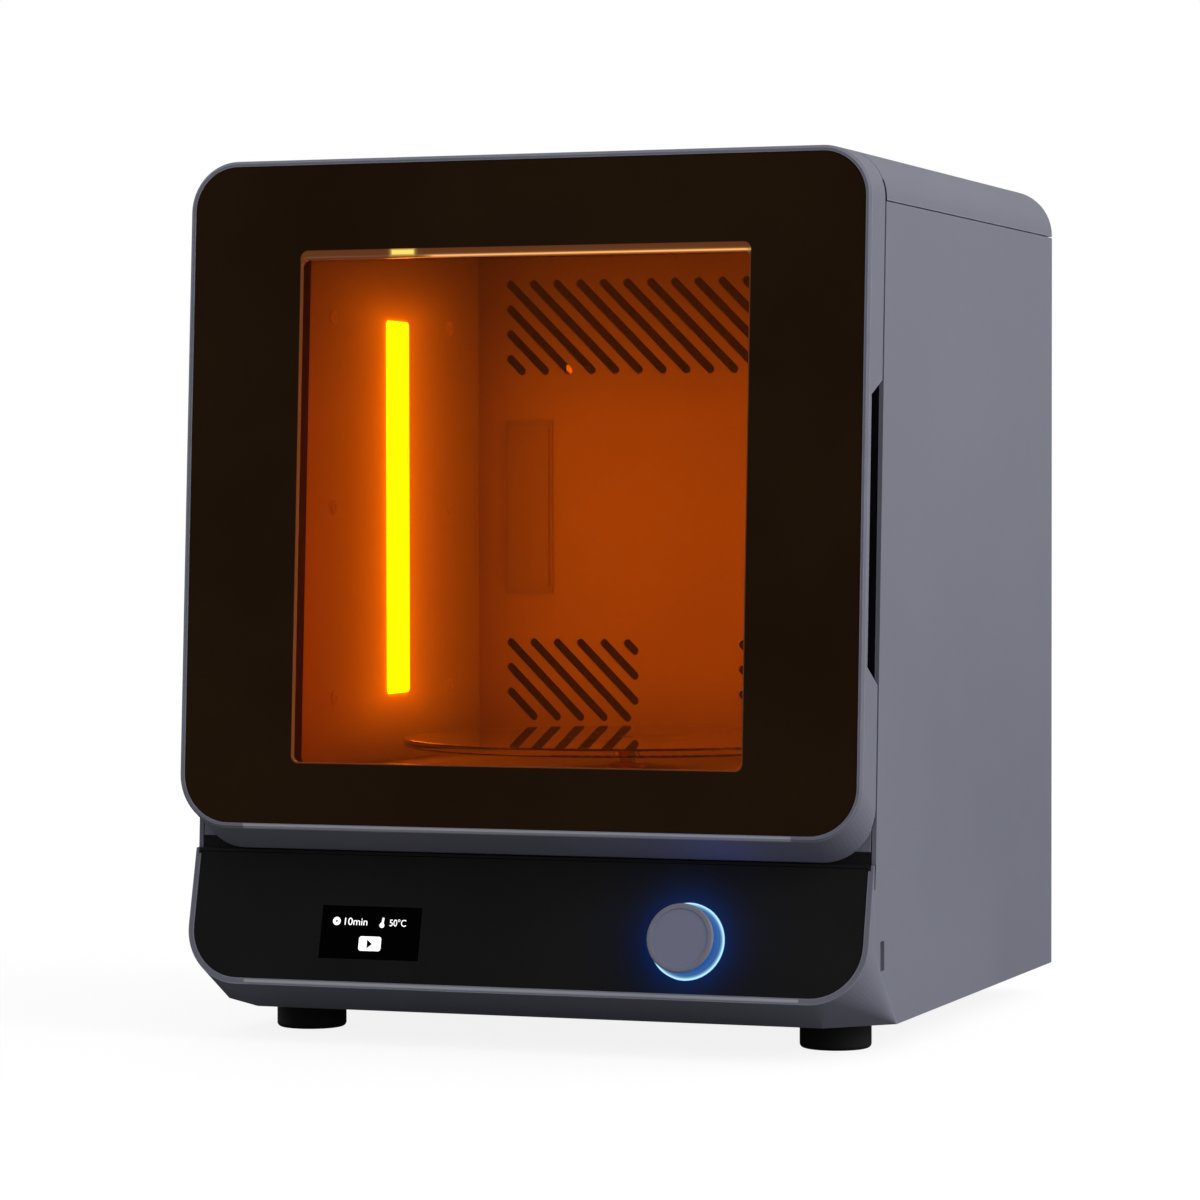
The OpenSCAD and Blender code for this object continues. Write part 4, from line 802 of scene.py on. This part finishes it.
def add_cut(mesh: Mesh, part: Mesh, tool: Mesh, place: Matrix) -> None:
    """Cuts a tool out of a part and adds what is left to a mesh.

    Args:
        mesh: the mesh that grows.
        part: the mesh that is cut. It is freed here.
        tool: the mesh that is taken away. It is freed here.
        place: where the cut part goes.
    """
    pair = put("cut_part", part), put("cut_tool", tool)
    step = pair[0].modifiers.new("cut", "BOOLEAN")
    step.operation, step.solver, step.object = "DIFFERENCE", "EXACT", pair[1]
    graph = bpy.context.evaluated_depsgraph_get()
    left = pair[0].evaluated_get(graph).to_mesh()
    left.transform(place)
    mesh.from_mesh(left)
    for made in pair:
        data = made.data
        bpy.data.objects.remove(made)
        bpy.data.meshes.remove(data)


CASE_GREY: Rgb = (0.182, 0.187, 0.236)
SEAM_SHADE: Rgb = (0.02, 0.02, 0.026)
LEDGE_SHADOW: Rgb = (0.012, 0.012, 0.015)
GRIP_SHADE: Rgb = (0.004, 0.004, 0.006)
DEEP_GREY: Rgb = (0.1, 0.103, 0.125)
LIP_HIGHLIGHT: Rgb = (0.42, 0.43, 0.48)
LAMP_WHITE: Rgb = (1.0, 0.93, 0.72)
RING_BLUE: Rgb = (0.62, 1.08, 1.25)
# Mouldings: their strong edge lightening is partly rubbed paint and partly a
# painted highlight along the edges.
MOULDED: dict[str, Any] = dict(
    roughness=0.46, specular=0.25, mottle=0.025, grain_scale=1900.0,
    grain_strength=0.16, wear_and_sheen=0.8, edge_lightening=2.0, dust=0.05)
PLATE: dict[str, Any] = dict(
    specular=0.16, uneven=0.02, grain_scale=500.0, grain_strength=0.02)
# Painted shade on the door's and the cabinet's faces beside the side gaps, which
# widens the shade in the seams.
SEAM_SHADES: tuple[PaintedLightBox, ...] = tuple(
    PaintedLightBox.on(DOOR_FACE, SEAM_SHADE, ((x, 145.0, -22.2),
                                     (0.0013, 0.0013, 0.165)))
    for x in (-159.7, 159.7))


@dataclass
class Studio:
    """Plain floor, soft light from the world, and the photograph's camera.

    The from_ values are the world's light from each side. What mirrors it
    shows behind_camera in front, beyond_unit at the back and white at the
    sides, with spans of how far back the direction points in between.
    """

    eye: Point = (0.70085, -2.006512, 0.243378)
    ahead: Point = (-0.336962, 0.941255, -0.022269)
    right: Point = (0.941498, 0.337014, -0.001518)
    lens: float = 135.03
    sensor: float = 36.0
    floor_half: float = 6.0
    floor_tone: float = 0.3
    floor_mirror: float = 0.005
    floor_pale: float = 0.9
    floor_light: float = 0.72
    shadow_share: float = 0.2
    ambient: float = 0.07
    from_right: float = 2.3
    from_left: float = 0.9
    from_back: float = 1.1
    from_above: float = 0.35
    behind_camera: float = 0.04
    behind_span: Pair = (-0.75, -0.05)
    beyond_unit: float = 0.3
    beyond_span: Pair = (0.3, 0.85)
    lamp_place: Point = (2.4, -0.5, 1.5)
    lamp_aim: Point = (0.0, 0.0, 0.2)
    lamp_side: float = 1.6
    lamp_watts: float = 14.0

    def build(self) -> None:
        """Sets the view transform and makes the camera, world and floor."""
        scene = bpy.context.scene
        scene.view_settings.view_transform = "Standard"
        self.camera(scene)
        self.world(scene)
        self.floor()
        self.lamps()

    def camera(self, scene: bpy.types.Scene) -> None:
        """Stands the camera where the photograph was taken from.

        Args:
            scene: the scene that it looks at.
        """
        data = bpy.data.cameras.new("camera")
        data.lens, data.sensor_width = self.lens, self.sensor
        data.clip_start, data.clip_end = 0.05, 60.0
        ahead = Vector(self.ahead).normalized()
        right = Vector(self.right).normalized()
        above = right.cross(ahead)
        turn = Matrix((right, above, -ahead)).transposed()
        scene.camera = put("camera", data)
        scene.camera.matrix_world = (Matrix.Translation(self.eye)
                                     @ turn.to_4x4())

    def world(self, scene: bpy.types.Scene) -> None:
        """Makes a white surround that lights the unit softly from its sides.

        Args:
            scene: the scene that it surrounds.
        """
        world = bpy.data.worlds.new("studio")
        world.use_nodes = True
        tree = Tree(world.node_tree)
        way = tree.add("SeparateXYZ", {0: tree.add("TexCoord").outputs[
            "Generated"]})
        east, north, up = way.outputs
        west = tree.math("MULTIPLY", east, -1.0)
        soft: Any = self.ambient
        for way, power, level in ((east, 2.0, self.from_right),
                                  (west, 2.0, self.from_left),
                                  (north, 2.0, self.from_back),
                                  (up, 1.0, self.from_above)):
            glow = tree.math("POWER", tree.math("MAXIMUM", way, 0.0), power)
            soft = tree.math("ADD", soft, tree.math("MULTIPLY", glow, level))
        gloss = tree.math(
            "MULTIPLY", tree.span(north, *self.behind_span, self.behind_camera),
            tree.span(north, *self.beyond_span, 1.0, self.beyond_unit))
        path = tree.add("LightPath").outputs
        seen = tree.math("MAXIMUM", path["Is Camera Ray"],
                         path["Is Transmission Ray"])
        level = tree.add("Mix", {"Factor": path["Is Glossy Ray"], 2: soft,
                                 3: gloss}).outputs[0]
        level = tree.add("Mix", {"Factor": seen, 2: level, 3: 1.0}).outputs[0]
        light = tree.add("Background", {"Color": (1.0, 1.0, 1.0),
                                        "Strength": level})
        out = tree.add("OutputWorld")
        tree.feed(out.inputs["Surface"], light.outputs["Background"])
        scene.world = world

    def floor(self) -> None:
        """Lays a pale floor that shows white and keeps the unit's shadow."""
        mesh, cells = bmesh.new(), 8
        bmesh.ops.create_grid(mesh, x_segments=cells, y_segments=cells,
                              size=self.floor_half)
        made = bpy.data.materials.new("pale_floor")
        made.use_nodes = True
        tree = Tree(made.node_tree)
        path = tree.add("LightPath").outputs
        direct = tree.math("MAXIMUM", path["Is Camera Ray"],
                           path["Is Transmission Ray"])
        seen = tree.math("MAXIMUM", direct, path["Is Glossy Ray"])
        tone = tree.blend(direct, (self.floor_tone,) * 3,
                          (self.floor_pale,) * 3)
        matt = tree.add("BsdfDiffuse", {"Color": tone})
        lit = 1.0 - self.shadow_share
        shown = (1.0 - self.shadow_share * self.floor_pale
                 * self.floor_light) / lit
        white = tree.add("Emission", {"Strength": tree.span(
            path["Is Glossy Ray"], 0.0, 1.0, shown, self.floor_mirror)})
        mixed = tree.add("MixShader", {0: tree.math("MULTIPLY", seen, lit),
            1: matt.outputs["BSDF"], 2: white.outputs["Emission"]})
        below = tree.add("MixShader", {
            0: tree.add("NewGeometry").outputs["Backfacing"],
            1: mixed.outputs["Shader"],
            2: tree.add("BsdfTransparent").outputs["BSDF"]})
        out = tree.add("OutputMaterial")
        tree.feed(out.inputs["Surface"], below.outputs["Shader"])
        piece = put("floor", mesh)
        piece.data.materials.append(made)

    def lamps(self) -> None:
        """Hangs one large soft lamp to the right, above the unit."""
        data = bpy.data.lights.new("soft_lamp", "AREA")
        data.shape = "RECTANGLE"
        data.size = data.size_y = self.lamp_side
        data.energy = self.lamp_watts
        made = put("soft_lamp", data)
        made.location = self.lamp_place
        aim = Vector(self.lamp_aim) - made.location
        made.rotation_mode = "QUATERNION"
        made.rotation_quaternion = aim.to_track_quat("-Z", "Y")


@dataclass
class Case:
    """Sheets, mouldings, rear panel, base and rubber of the unit.

    A box is its middle on its leaning face, in millimetres, and its half
    sizes in metres.
    """

    mouldings: Names = ("top_cover", "front_frame", "hinge_knuckles")
    sheets: Names = ("side_panel_left", "side_panel_right")
    rear: Names = ("rear_panel", "base_plate")
    rubber: Names = ("rubber_feet", "door_seal")
    # Painted shadow on the ledge under the door.
    ledge: Box = ((0.0, 60.3, -6.0), (0.1585, 0.009, 0.0042))
    # Painted shade in the grip recess of the front frame.
    grip: Box = ((152.0, 134.0, -23.5), (0.0078, 0.001, 0.0675))
    # Painted highlight along the lip under the panel.
    lip: Box = ((0.0, -1.4, -0.5), (0.13, 0.003, 0.0004))
    lip_soft: float = 0.0005

    def build(self) -> None:
        """Dresses the case."""
        # Painted shade beside the door's gaps and in the grip, a painted shadow
        # under the door and a painted highlight on the lip.
        dress(self.mouldings, LitPlate("moulded_case", CASE_GREY, painted_light_boxes=(
            *SEAM_SHADES, PaintedLightBox.on(PANEL_FACE, LEDGE_SHADOW, self.ledge),
            PaintedLightBox.on(DOOR_FACE, GRIP_SHADE, self.grip),
            PaintedLightBox.on(PANEL_FACE, LIP_HIGHLIGHT, self.lip, self.lip_soft)),
            **MOULDED))
        dress(self.sheets, Finish(
            "painted_sheet", CASE_GREY, roughness=0.44, specular=0.3,
            mottle=0.03, grain_scale=1500.0, grain_strength=0.2,
            wear_and_sheen=0.5, dust=0.04))
        dress(self.rear, Finish(
            "rear_paint", DEEP_GREY, specular=0.35, mottle=0.05,
            grain_scale=1300.0, grain_strength=0.3, wear_and_sheen=0.5, dust=0.08))
        dress(self.rubber, Finish(
            "rubber", (0.012, 0.0125, 0.014), roughness=0.72, specular=0.3,
            mottle=0.2, grain_scale=700.0, grain_strength=0.4, wear_and_sheen=0.15,
            dust=0.12))


@dataclass
class Door:
    """The door's moulding, plate, pane with its edge of painted light, and dark
    mouldings.

    The window (left, low, right, high), its rim and profile are in
    millimetres on the door's face. The profile pairs a share of the rim's
    width with a height. A box is as in Case, and ring_spill's second is a reach.
    """

    dark: Names = ("inner_frame", "door_sensor", "encoder_body", "power_inlet",
                   "switch_body", "rocker", "exhaust_fan_frame",
                   "exhaust_rotor", "blower_motor", "air_duct")
    window: Four = (-106.0, 29.6, 106.0, 259.1)
    corner: float = 3.5
    clear: float = 0.05
    rim: float = 0.6
    rim_round: float = 0.6
    top_rim: float = 4.1
    profile: tuple[Pair, ...] = (
        (0.0, -3.2), (0.0, -0.9), (0.6, -1.2), (0.72, -0.7), (0.84, -0.5),
        (0.95, -0.7), (1.0, -1.2), (1.0, -3.2))
    crest: float = 0.84
    # Painted shade in the door's grip recess.
    grip: Box = ((153.2, 134.0, -12.85), (0.0063, 0.00845, 0.0684))
    # Painted highlight along the door's lower lip.
    lip: Box = ((0.0, 1.2, -0.8), (0.128, 0.0014, 0.0007))
    lip_soft: float = 0.0006
    ring_spill: Box = ((94.0, -6.0, -9.0), (0.019, 0.02, 0.012))
    amber: Rgb = (1.0, 0.155, 0.0)

    def build(self) -> None:
        """Dresses the door's own parts and the dark mouldings."""
        # Painted blue light of the knob's ring on the door's underside, as
        # emission.
        middle, reach = self.ring_spill
        glow = Spill((0.001, 0.004, 0.05), DOOR_FACE.point(*middle), reach)
        # Painted shade in the seams and the grip recess, and a painted highlight
        # along the lower lip.
        dress(["door_frame"], LitPlate(
            "moulded_door", CASE_GREY, spills=(glow,), painted_light_boxes=(
                *SEAM_SHADES, PaintedLightBox.on(DOOR_FACE, LIP_HIGHLIGHT, self.lip, self.lip_soft),
                PaintedLightBox.on(DOOR_FACE, GRIP_SHADE, self.grip)), **MOULDED))
        dress(["door_glass"], Finish(
            "black_plate", (0.024, 0.0115, 0.0045), roughness=0.08,
            mottle=0.15, **PLATE))
        dress(["window_pane"], ClearSheet(
            "amber_pane", self.amber, roughness=0.0, specular=0.2,
            grain_strength=0.01, shade=self.amber))
        dress(self.dark, Finish(
            "dark_moulding", (0.017, 0.017, 0.019), roughness=0.55,
            specular=0.35, mottle=0.12, grain_scale=1500.0,
            grain_strength=0.4, wear_and_sheen=0.2, dust=0.06))
        self.pane_edge()

    def loop(self, share: float) -> list[Pair]:
        """Gives a rounded outline of the rim, in millimetres.

        Args:
            share: 0 for its outer outline, 1 for its inner one.

        Returns:
            The outline's corners on the door's face.
        """
        x0, y0, x1, y1 = self.window
        side = self.clear + share * self.rim
        top = self.clear + share * self.top_rim
        r = self.corner - self.clear - share * self.rim * self.rim_round
        left, right = x0 + side + r, x1 - side - r
        low, high = y0 + side + r, y1 - top - r
        return [(x + r * math.cos(a), y + r * math.sin(a))
                for x, y, first in ((right, low, -90.0), (right, high, 0.0),
                                    (left, high, 90.0), (left, low, 180.0))
                for a in (math.radians(first + 15.0 * k) for k in range(7))]

    def pane_edge(self) -> None:
        """Builds the pane's polished edge, with a painted glow, a painted
        highlight along its top and a painted reflection of a lamp.
        """
        mesh = bmesh.new()
        rings = [[mesh.verts.new((x * MM, y * MM, out * MM))
                  for x, y in self.loop(share)] for share, out in self.profile]
        for ring, after in zip(rings, rings[1:] + rings[:1]):
            band(mesh, ring, after)
        mesh.transform(DOOR_FACE.matrix())
        crest = self.window[3] - self.clear - self.top_rim * self.crest
        # Painted light on the edge, as emission: a painted glow all round and a
        # painted highlight along the top member.
        painted_glow = Spill((0.085, 0.026, 0.009), (0.0, 0.0, 0.0), (FAR,) * 3)
        painted_highlight = Spill((0.95, 0.46, 0.13), DOOR_FACE.point(31.0, crest, -0.5),
                      (0.003, FAR, 0.00025), (0.0725, FAR, 0.0002))
        # A painted reflection of the lamp bar, a small bright spot near the top.
        lamp = Spill((0.95, 0.75, 0.15), DOOR_FACE.point(-56.8, 257.6, -1.0),
                     (0.0006, FAR, 0.0006), (0.005, FAR, 0.0007))
        finish = LitPlate("pane_edge", (0.1, 0.03, 0.006), roughness=0.12,
                          specular=0.4, grain_strength=0.02,
                          spills=(painted_glow, painted_highlight, lamp))
        shape("pane_edge", mesh, finish.material(), Body.DOOR)


@dataclass
class Chamber:
    """Liner of the curing chamber, its lamps and the clear turntable.

    One box of lamplight, painted as emission, takes in both side walls. A
    shade level is a height and how far from it the liner is painted darker:
    painted shade towards the ceiling and towards the floor.
    """

    lamp: Point = (0.0, 0.011444, 0.23975)
    half: Point = (WHOLE, 0.0125, 0.0885)
    reach: Point = (WHOLE, 0.03, 0.011)
    caught: float = 0.72
    power: float = 8.4
    liner: Rgb = (0.47, 0.46, 0.43)
    shade_levels: tuple[Pair, ...] = ((0.37, 0.085), (0.095, 0.06))
    shade_share: float = 0.45
    cover_share: float = 0.78

    def lamplight(self) -> Spill:
        """Gives the light that the lamps throw on what is beside them, painted as
        emission.
        """
        return Spill(toned(LAMP_WHITE, self.caught), self.lamp, self.reach,
                     self.half)

    def build(self) -> None:
        """Dresses the chamber."""
        # Painted shade: the liner is darker towards the ceiling and towards the
        # floor.
        top_and_bottom_shade = toned(self.liner, self.shade_share)
        plain: dict[str, Any] = dict(
            specular=0.3, mottle=0.04, grain_scale=1100.0, grain_strength=0.2,
            painted_light_boxes=tuple(PaintedLightBox(top_and_bottom_shade, (0.0, 0.0, z), (WHOLE, WHOLE, 0.0),
                                 soft=fade) for z, fade in self.shade_levels))
        dress(["chamber_floor", "chamber_ceiling", "chamber_rear_wall"],
              LitPlate("liner_paint", self.liner, wear_and_sheen=0.2, **plain))
        dress(["probe_cover"], LitPlate(
            "probe_paint", toned(self.liner, self.cover_share), wear_and_sheen=0.5,
            **plain))
        # Painted lamplight on the side walls beside the lamps, as emission.
        dress(["chamber_wall_left", "chamber_wall_right"], LitPlate(
            "liner_by_lamp", self.liner, spills=(self.lamplight(),), **plain))
        dress(["lamp_lens_left", "lamp_lens_right"], Glow(
            "lamp_lens", (0.8, 0.78, 0.7), light=LAMP_WHITE,
            strength=self.power))
        dress(["lamp_board_left", "lamp_board_right"], Finish(
            "lamp_board", (0.75, 0.75, 0.72), roughness=0.35, mottle=0.05))
        dress(["turntable_disc"], ClearSheet(
            "clear_disc", (0.93, 0.95, 0.95), roughness=0.015,
            grain_strength=0.02, shade=(0.9, 0.92, 0.92)))


@dataclass
class Readout:
    """Lit marks on the display: a timer, a temperature and a start button.

    Places on the panel's face are in millimetres. A line of figures is its
    left and low edge, its width and its height.
    """

    lift: float = -0.25 * MM
    thick: float = 0.04 * MM
    arc_steps: int = 28
    clock: Pair = (-87.8, 26.9)
    clock_radii: Pair = (1.85, 0.5)
    minutes: Four = (-83.9, 25.3, 10.9, 3.3)
    bulb: Pair = (-65.9, 25.6)
    bulb_r: float = 1.15
    tube: Pair = (-65.45, 28.6)
    tube_r: float = 0.55
    degrees: Four = (-62.3, 25.3, 7.9, 3.2)
    button_low: Pair = (-76.3, 13.9)
    button_high: Pair = (-65.6, 20.4)
    button_r: float = 1.2
    arrow: tuple[Pair, ...] = ((-72.4, 14.9), (-69.8, 17.0), (-72.4, 19.1))

    def plate(self, mesh: Mesh, outline: Sequence[Pair]) -> None:
        """Adds a thin plate.

        Args:
            mesh: the mesh that the plate is added to.
            outline: its corners.
        """
        top, low = ([mesh.verts.new((x * MM, y * MM, z)) for x, y in outline]
                    for z in (self.lift, self.lift - self.thick))
        mesh.faces.new(top)
        mesh.faces.new(low[::-1])
        band(mesh, low, top)

    def disc(self, x: float, y: float, r: float, start: float = 0.0,
             sweep: float = math.tau) -> list[Pair]:
        """Gives the points of an arc, from its start angle along its sweep."""
        turns = (start + sweep * i / self.arc_steps for i in range(
            self.arc_steps + (sweep != math.tau)))
        return [(x + r * math.cos(a), y + r * math.sin(a)) for a in turns]

    def words(self, text: str, x: float, y: float, wide: float, high: float,
              mesh: Mesh) -> None:
        """Adds figures and units.

        Args:
            text: what they say.
            x, y: their left and low edge.
            wide, high: the size that they are fitted to.
            mesh: the mesh that they are added to.
        """
        curve = bpy.data.curves.new("figures", "FONT")
        curve.body, curve.extrude = text, self.thick / 2
        made = put("figures", curve)
        graph = bpy.context.evaluated_depsgraph_get()
        data = bpy.data.meshes.new_from_object(made.evaluated_get(graph))
        xs = [v.co.x for v in data.vertices]
        ys = [v.co.y for v in data.vertices]
        fit = Matrix.Diagonal((wide * MM / (max(xs) - min(xs)),
                               high * MM / (max(ys) - min(ys)), 1.0, 1.0))
        shift = Matrix.Translation((x * MM - min(xs) * fit[0][0],
                                    y * MM - min(ys) * fit[1][1],
                                    self.lift - self.thick / 2))
        data.transform(shift @ fit)
        mesh.from_mesh(data)
        bpy.data.objects.remove(made)
        bpy.data.curves.remove(curve)
        bpy.data.meshes.remove(data)

    def build(self) -> None:
        """Builds the lit marks."""
        lit = Glow("lit_marks", (0.9, 0.9, 0.9)).material()
        for name, mesh in (("timer_mark", self.timer()),
                           ("warmth_mark", self.warmth()),
                           ("start_mark", self.start())):
            mesh.transform(PANEL_FACE.matrix())
            shape(name, mesh, lit, Body.CABINET)

    def timer(self) -> Mesh:
        """Builds the clock and its minutes.

        Returns:
            The mark's mesh.
        """
        mesh = bmesh.new()
        outer, inner = (self.disc(*self.clock, r) for r in self.clock_radii)
        for corners in zip(outer, outer[1:] + outer[:1],
                           inner[1:] + inner[:1], inner):
            self.plate(mesh, corners)
        self.words("10min", *self.minutes, mesh)
        return mesh

    def warmth(self) -> Mesh:
        """Builds the thermometer and its degrees.

        Returns:
            The mark's mesh.
        """
        mesh = bmesh.new()
        bulb = self.disc(*self.bulb, self.bulb_r, math.radians(65.0),
                         math.radians(-310.0))
        tube = self.disc(*self.tube, self.tube_r, math.pi, -math.pi)
        self.plate(mesh, bulb + tube[::-1])
        self.words("50°C", *self.degrees, mesh)
        return mesh

    def start(self) -> Mesh:
        """Builds the button with the triangle left open in it.

        Returns:
            The mark's mesh.
        """
        mesh = bmesh.new()
        r = self.button_r
        (x0, y0), (x1, y1) = self.button_low, self.button_high
        outline = []
        for x, y, turn in ((x1 - r, y0 + r, -90), (x1 - r, y1 - r, 0),
                           (x0 + r, y1 - r, 90), (x0 + r, y0 + r, 180)):
            outline += self.disc(x, y, r, math.radians(turn), math.pi / 2)
        rings = [[mesh.verts.new((x * MM, y * MM, z)) for x, y in ring]
                 for z in (self.lift, self.lift - self.thick)
                 for ring in (outline, self.arrow)]
        for ring in rings:
            for pair in zip(ring, ring[1:] + ring[:1]):
                mesh.edges.new(pair)
        for flat in (rings[:2], rings[2:]):
            corners = {v for ring in flat for v in ring}
            edges = [e for e in mesh.edges if set(e.verts) <= corners]
            bmesh.ops.triangle_fill(mesh, edges=edges, use_beauty=True)
        for upper, lower in zip(rings[:2], rings[2:]):
            band(mesh, upper, lower)
        return mesh


@dataclass
class Panel:
    """Control plate, display, light ring and knob, and the circuit boards.

    The skirt is how much of the knob's side gets painted light from the ring.
    """

    ring_centre: Point = (0.0778, -0.15474, 0.0513)
    ring_r: float = 17.0 * MM
    ring_line: float = 0.6 * MM
    line_in: float = 0.3 * MM
    reach: float = 6.0 * MM
    skirt: float = 9.3 * MM
    skirt_fade: float = 0.4 * MM

    def build(self) -> None:
        """Dresses the panel."""
        # Painted halo of the ring's blue light on the black plate, as emission.
        halo = Spill((0.0, 0.011, 0.075), self.ring_centre,
                     (self.reach,) * 3, ring=self.ring_r / self.reach)
        dress(["control_panel"], LitPlate(
            "black_panel", (0.0145, 0.0145, 0.0152), roughness=0.1,
            mottle=0.12, spills=(halo,), **PLATE))
        dress(["display_screen"], Finish(
            "display_glass", (0.0008, 0.0008, 0.001), roughness=0.12,
            specular=0.1, mottle=0.1, uneven=0.02, grain_strength=0.02))
        deep = Spill((0.0, 0.055, 0.25), self.ring_centre, (FAR,) * 3)
        line = Spill(RING_BLUE, self.ring_centre, (self.ring_line,) * 3,
                     ring=(self.ring_r - self.line_in) / self.ring_line)
        dress(["light_ring"], LitPlate(
            "ring_light", (0.012, 0.02, 0.03), roughness=0.35, specular=0.2,
            spills=(deep, line)))
        # Painted ring light on the knob's skirt: blue emission over a painted
        # blue-dark colour.
        skirt = Spill((0.0, 0.055, 0.26), self.ring_centre,
                      (FAR, self.skirt_fade, FAR), (WHOLE, self.skirt, WHOLE),
                      lean=PANEL_FACE.lean)
        dress(["knob"], LitPlate(
            "knob_grey", (0.235, 0.228, 0.265), roughness=0.42, specular=0.35,
            mottle=0.03, grain_scale=1700.0, grain_strength=0.2, wear_and_sheen=0.5,
            spills=(skirt,), painted_light_boxes=(PaintedLightBox(
                (0.03, 0.05, 0.09), skirt.centre, skirt.half, skirt.lean),)))
        dress(["control_board", "main_board"], CircuitBoard(
            "circuit_board", (0.02, 0.12, 0.05), roughness=0.35))


@dataclass
class Hardware:
    """Bare metal parts, and the screws with their recesses.

    Across is the stretch of streaks that run up and down.
    """

    steel: Names = ("hinge_pins", "strike_plates", "door_magnets",
                    "knob_shaft", "encoder_sleeve", "turntable_spindle",
                    "hinge_brackets", "side_port", "support_posts",
                    "blower_brackets", "blower_rotor")
    aluminium: Names = ("heat_sink_left", "heat_sink_right", "heater",
                        "power_supply")
    across: Point = (900.0, 900.0, 40.0)

    def build(self) -> None:
        """Dresses the metal and builds the screws."""
        dress(self.steel, BrushedMetal(
            "screw_steel", (0.52, 0.53, 0.55), roughness=0.32, wear_and_sheen=0.3))
        dress(self.aluminium, BrushedMetal(
            "sink_aluminium", (0.6, 0.61, 0.63), roughness=0.4,
            stretch=self.across, wear_and_sheen=0.3, dust=0.1))
        dress(["turntable_motor"], BrushedMetal(
            "motor_steel", (0.33, 0.34, 0.36), roughness=0.36,
            stretch=self.across))
        dress(["turntable_bush"], BrushedMetal(
            "bush_brass", (0.6, 0.42, 0.16), roughness=0.3))
        black = Finish("blackened_steel", (0.02, 0.02, 0.022), roughness=0.35,
                       wear_and_sheen=0.6, wear_width=0.0004).material()
        self.screws("case_screws", "rear_screws", black, Body.CABINET)
        self.screws("foot_screws", "feet_screws", black, Body.CABINET)
        inside = Chamber()
        # The screws in the liner get the painted lamplight too.
        liner = LitPlate("painted_screws", inside.liner, roughness=0.45,
                         wear_and_sheen=0.2, spills=(inside.lamplight(),)).material()
        self.screws("lamp_screws", "liner_screws", liner, Body.CABINET)
        self.screws("inner_screws", "door_cover_screws", black, Body.DOOR)

    def screws(self, node: str, name: str, finish: Material,
               body: Body) -> None:
        """Replaces a node's plain screws by ones with a recess.

        Args:
            node: the CAD node with the plain screws.
            name: the new piece's name.
            finish: its material.
            body: the body that it rides on.
        """
        mesh = bmesh.new()
        for corners in islands(node):
            axis, seat, screw = self.measure(corners)
            turn = axis.to_track_quat("Z", "Y").to_matrix().to_4x4()
            screw.add(mesh, Matrix.Translation(seat) @ turn)
        piece = shape(name, mesh, finish, body)
        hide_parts(node)

    @staticmethod
    def turned(points: np.ndarray, way: np.ndarray
               ) -> tuple[np.ndarray, np.ndarray, np.ndarray]:
        """Measures points round an axis through the middle of their own.

        Args:
            points: the points, one in each row.
            way: the axis's direction.

        Returns:
            How far along the axis each point is, its distance from the axis,
            and a point of the axis.
        """
        run = points @ way
        off = points - np.outer(run, way)
        middle = (off.min(0) + off.max(0)) / 2
        return run, np.linalg.norm(off - middle, axis=1), middle

    @classmethod
    def measure(cls, corners: list[Vector]) -> tuple[Vector, Vector, Screw]:
        """Reads a plain screw's place and sizes from its corners.

        Args:
            corners: the solid's corners.

        Returns:
            The way its head looks, the middle of its head's underside, and
            the screw.
        """
        points = np.unique(np.array([tuple(c) for c in corners]).round(7),
                           axis=0)
        ways = np.linalg.svd(points - points.mean(0))[2]
        way = min(ways, key=lambda w: len(set(
            cls.turned(points, w)[1].round(5))))
        run, size, middle = cls.turned(points, way)
        head = run[size > size.max() - 1e-5]
        if head.mean() < (run.min() + run.max()) / 2:
            way, run, head = -way, -run, -head
        screw = Screw(float(size.max()), float(head.max() - head.min()),
                      float(size[size > 1e-5].min()),
                      float(head.min() - run.min()))
        return Vector(way), Vector(middle + way * head.min()), screw


def main() -> None:
    """Builds the studio and dresses the unit, one sub-assembly at a time."""
    logging.basicConfig(level=logging.INFO, format="%(name)s: %(message)s")
    Effect.build_all()
    for part in (Studio(), Case(), Door(), Chamber(), Panel(), Readout(),
                 Hardware()):
        part.build()
        LOG.info("finished %s", type(part).__name__)


if __name__ == "__main__":
    main()
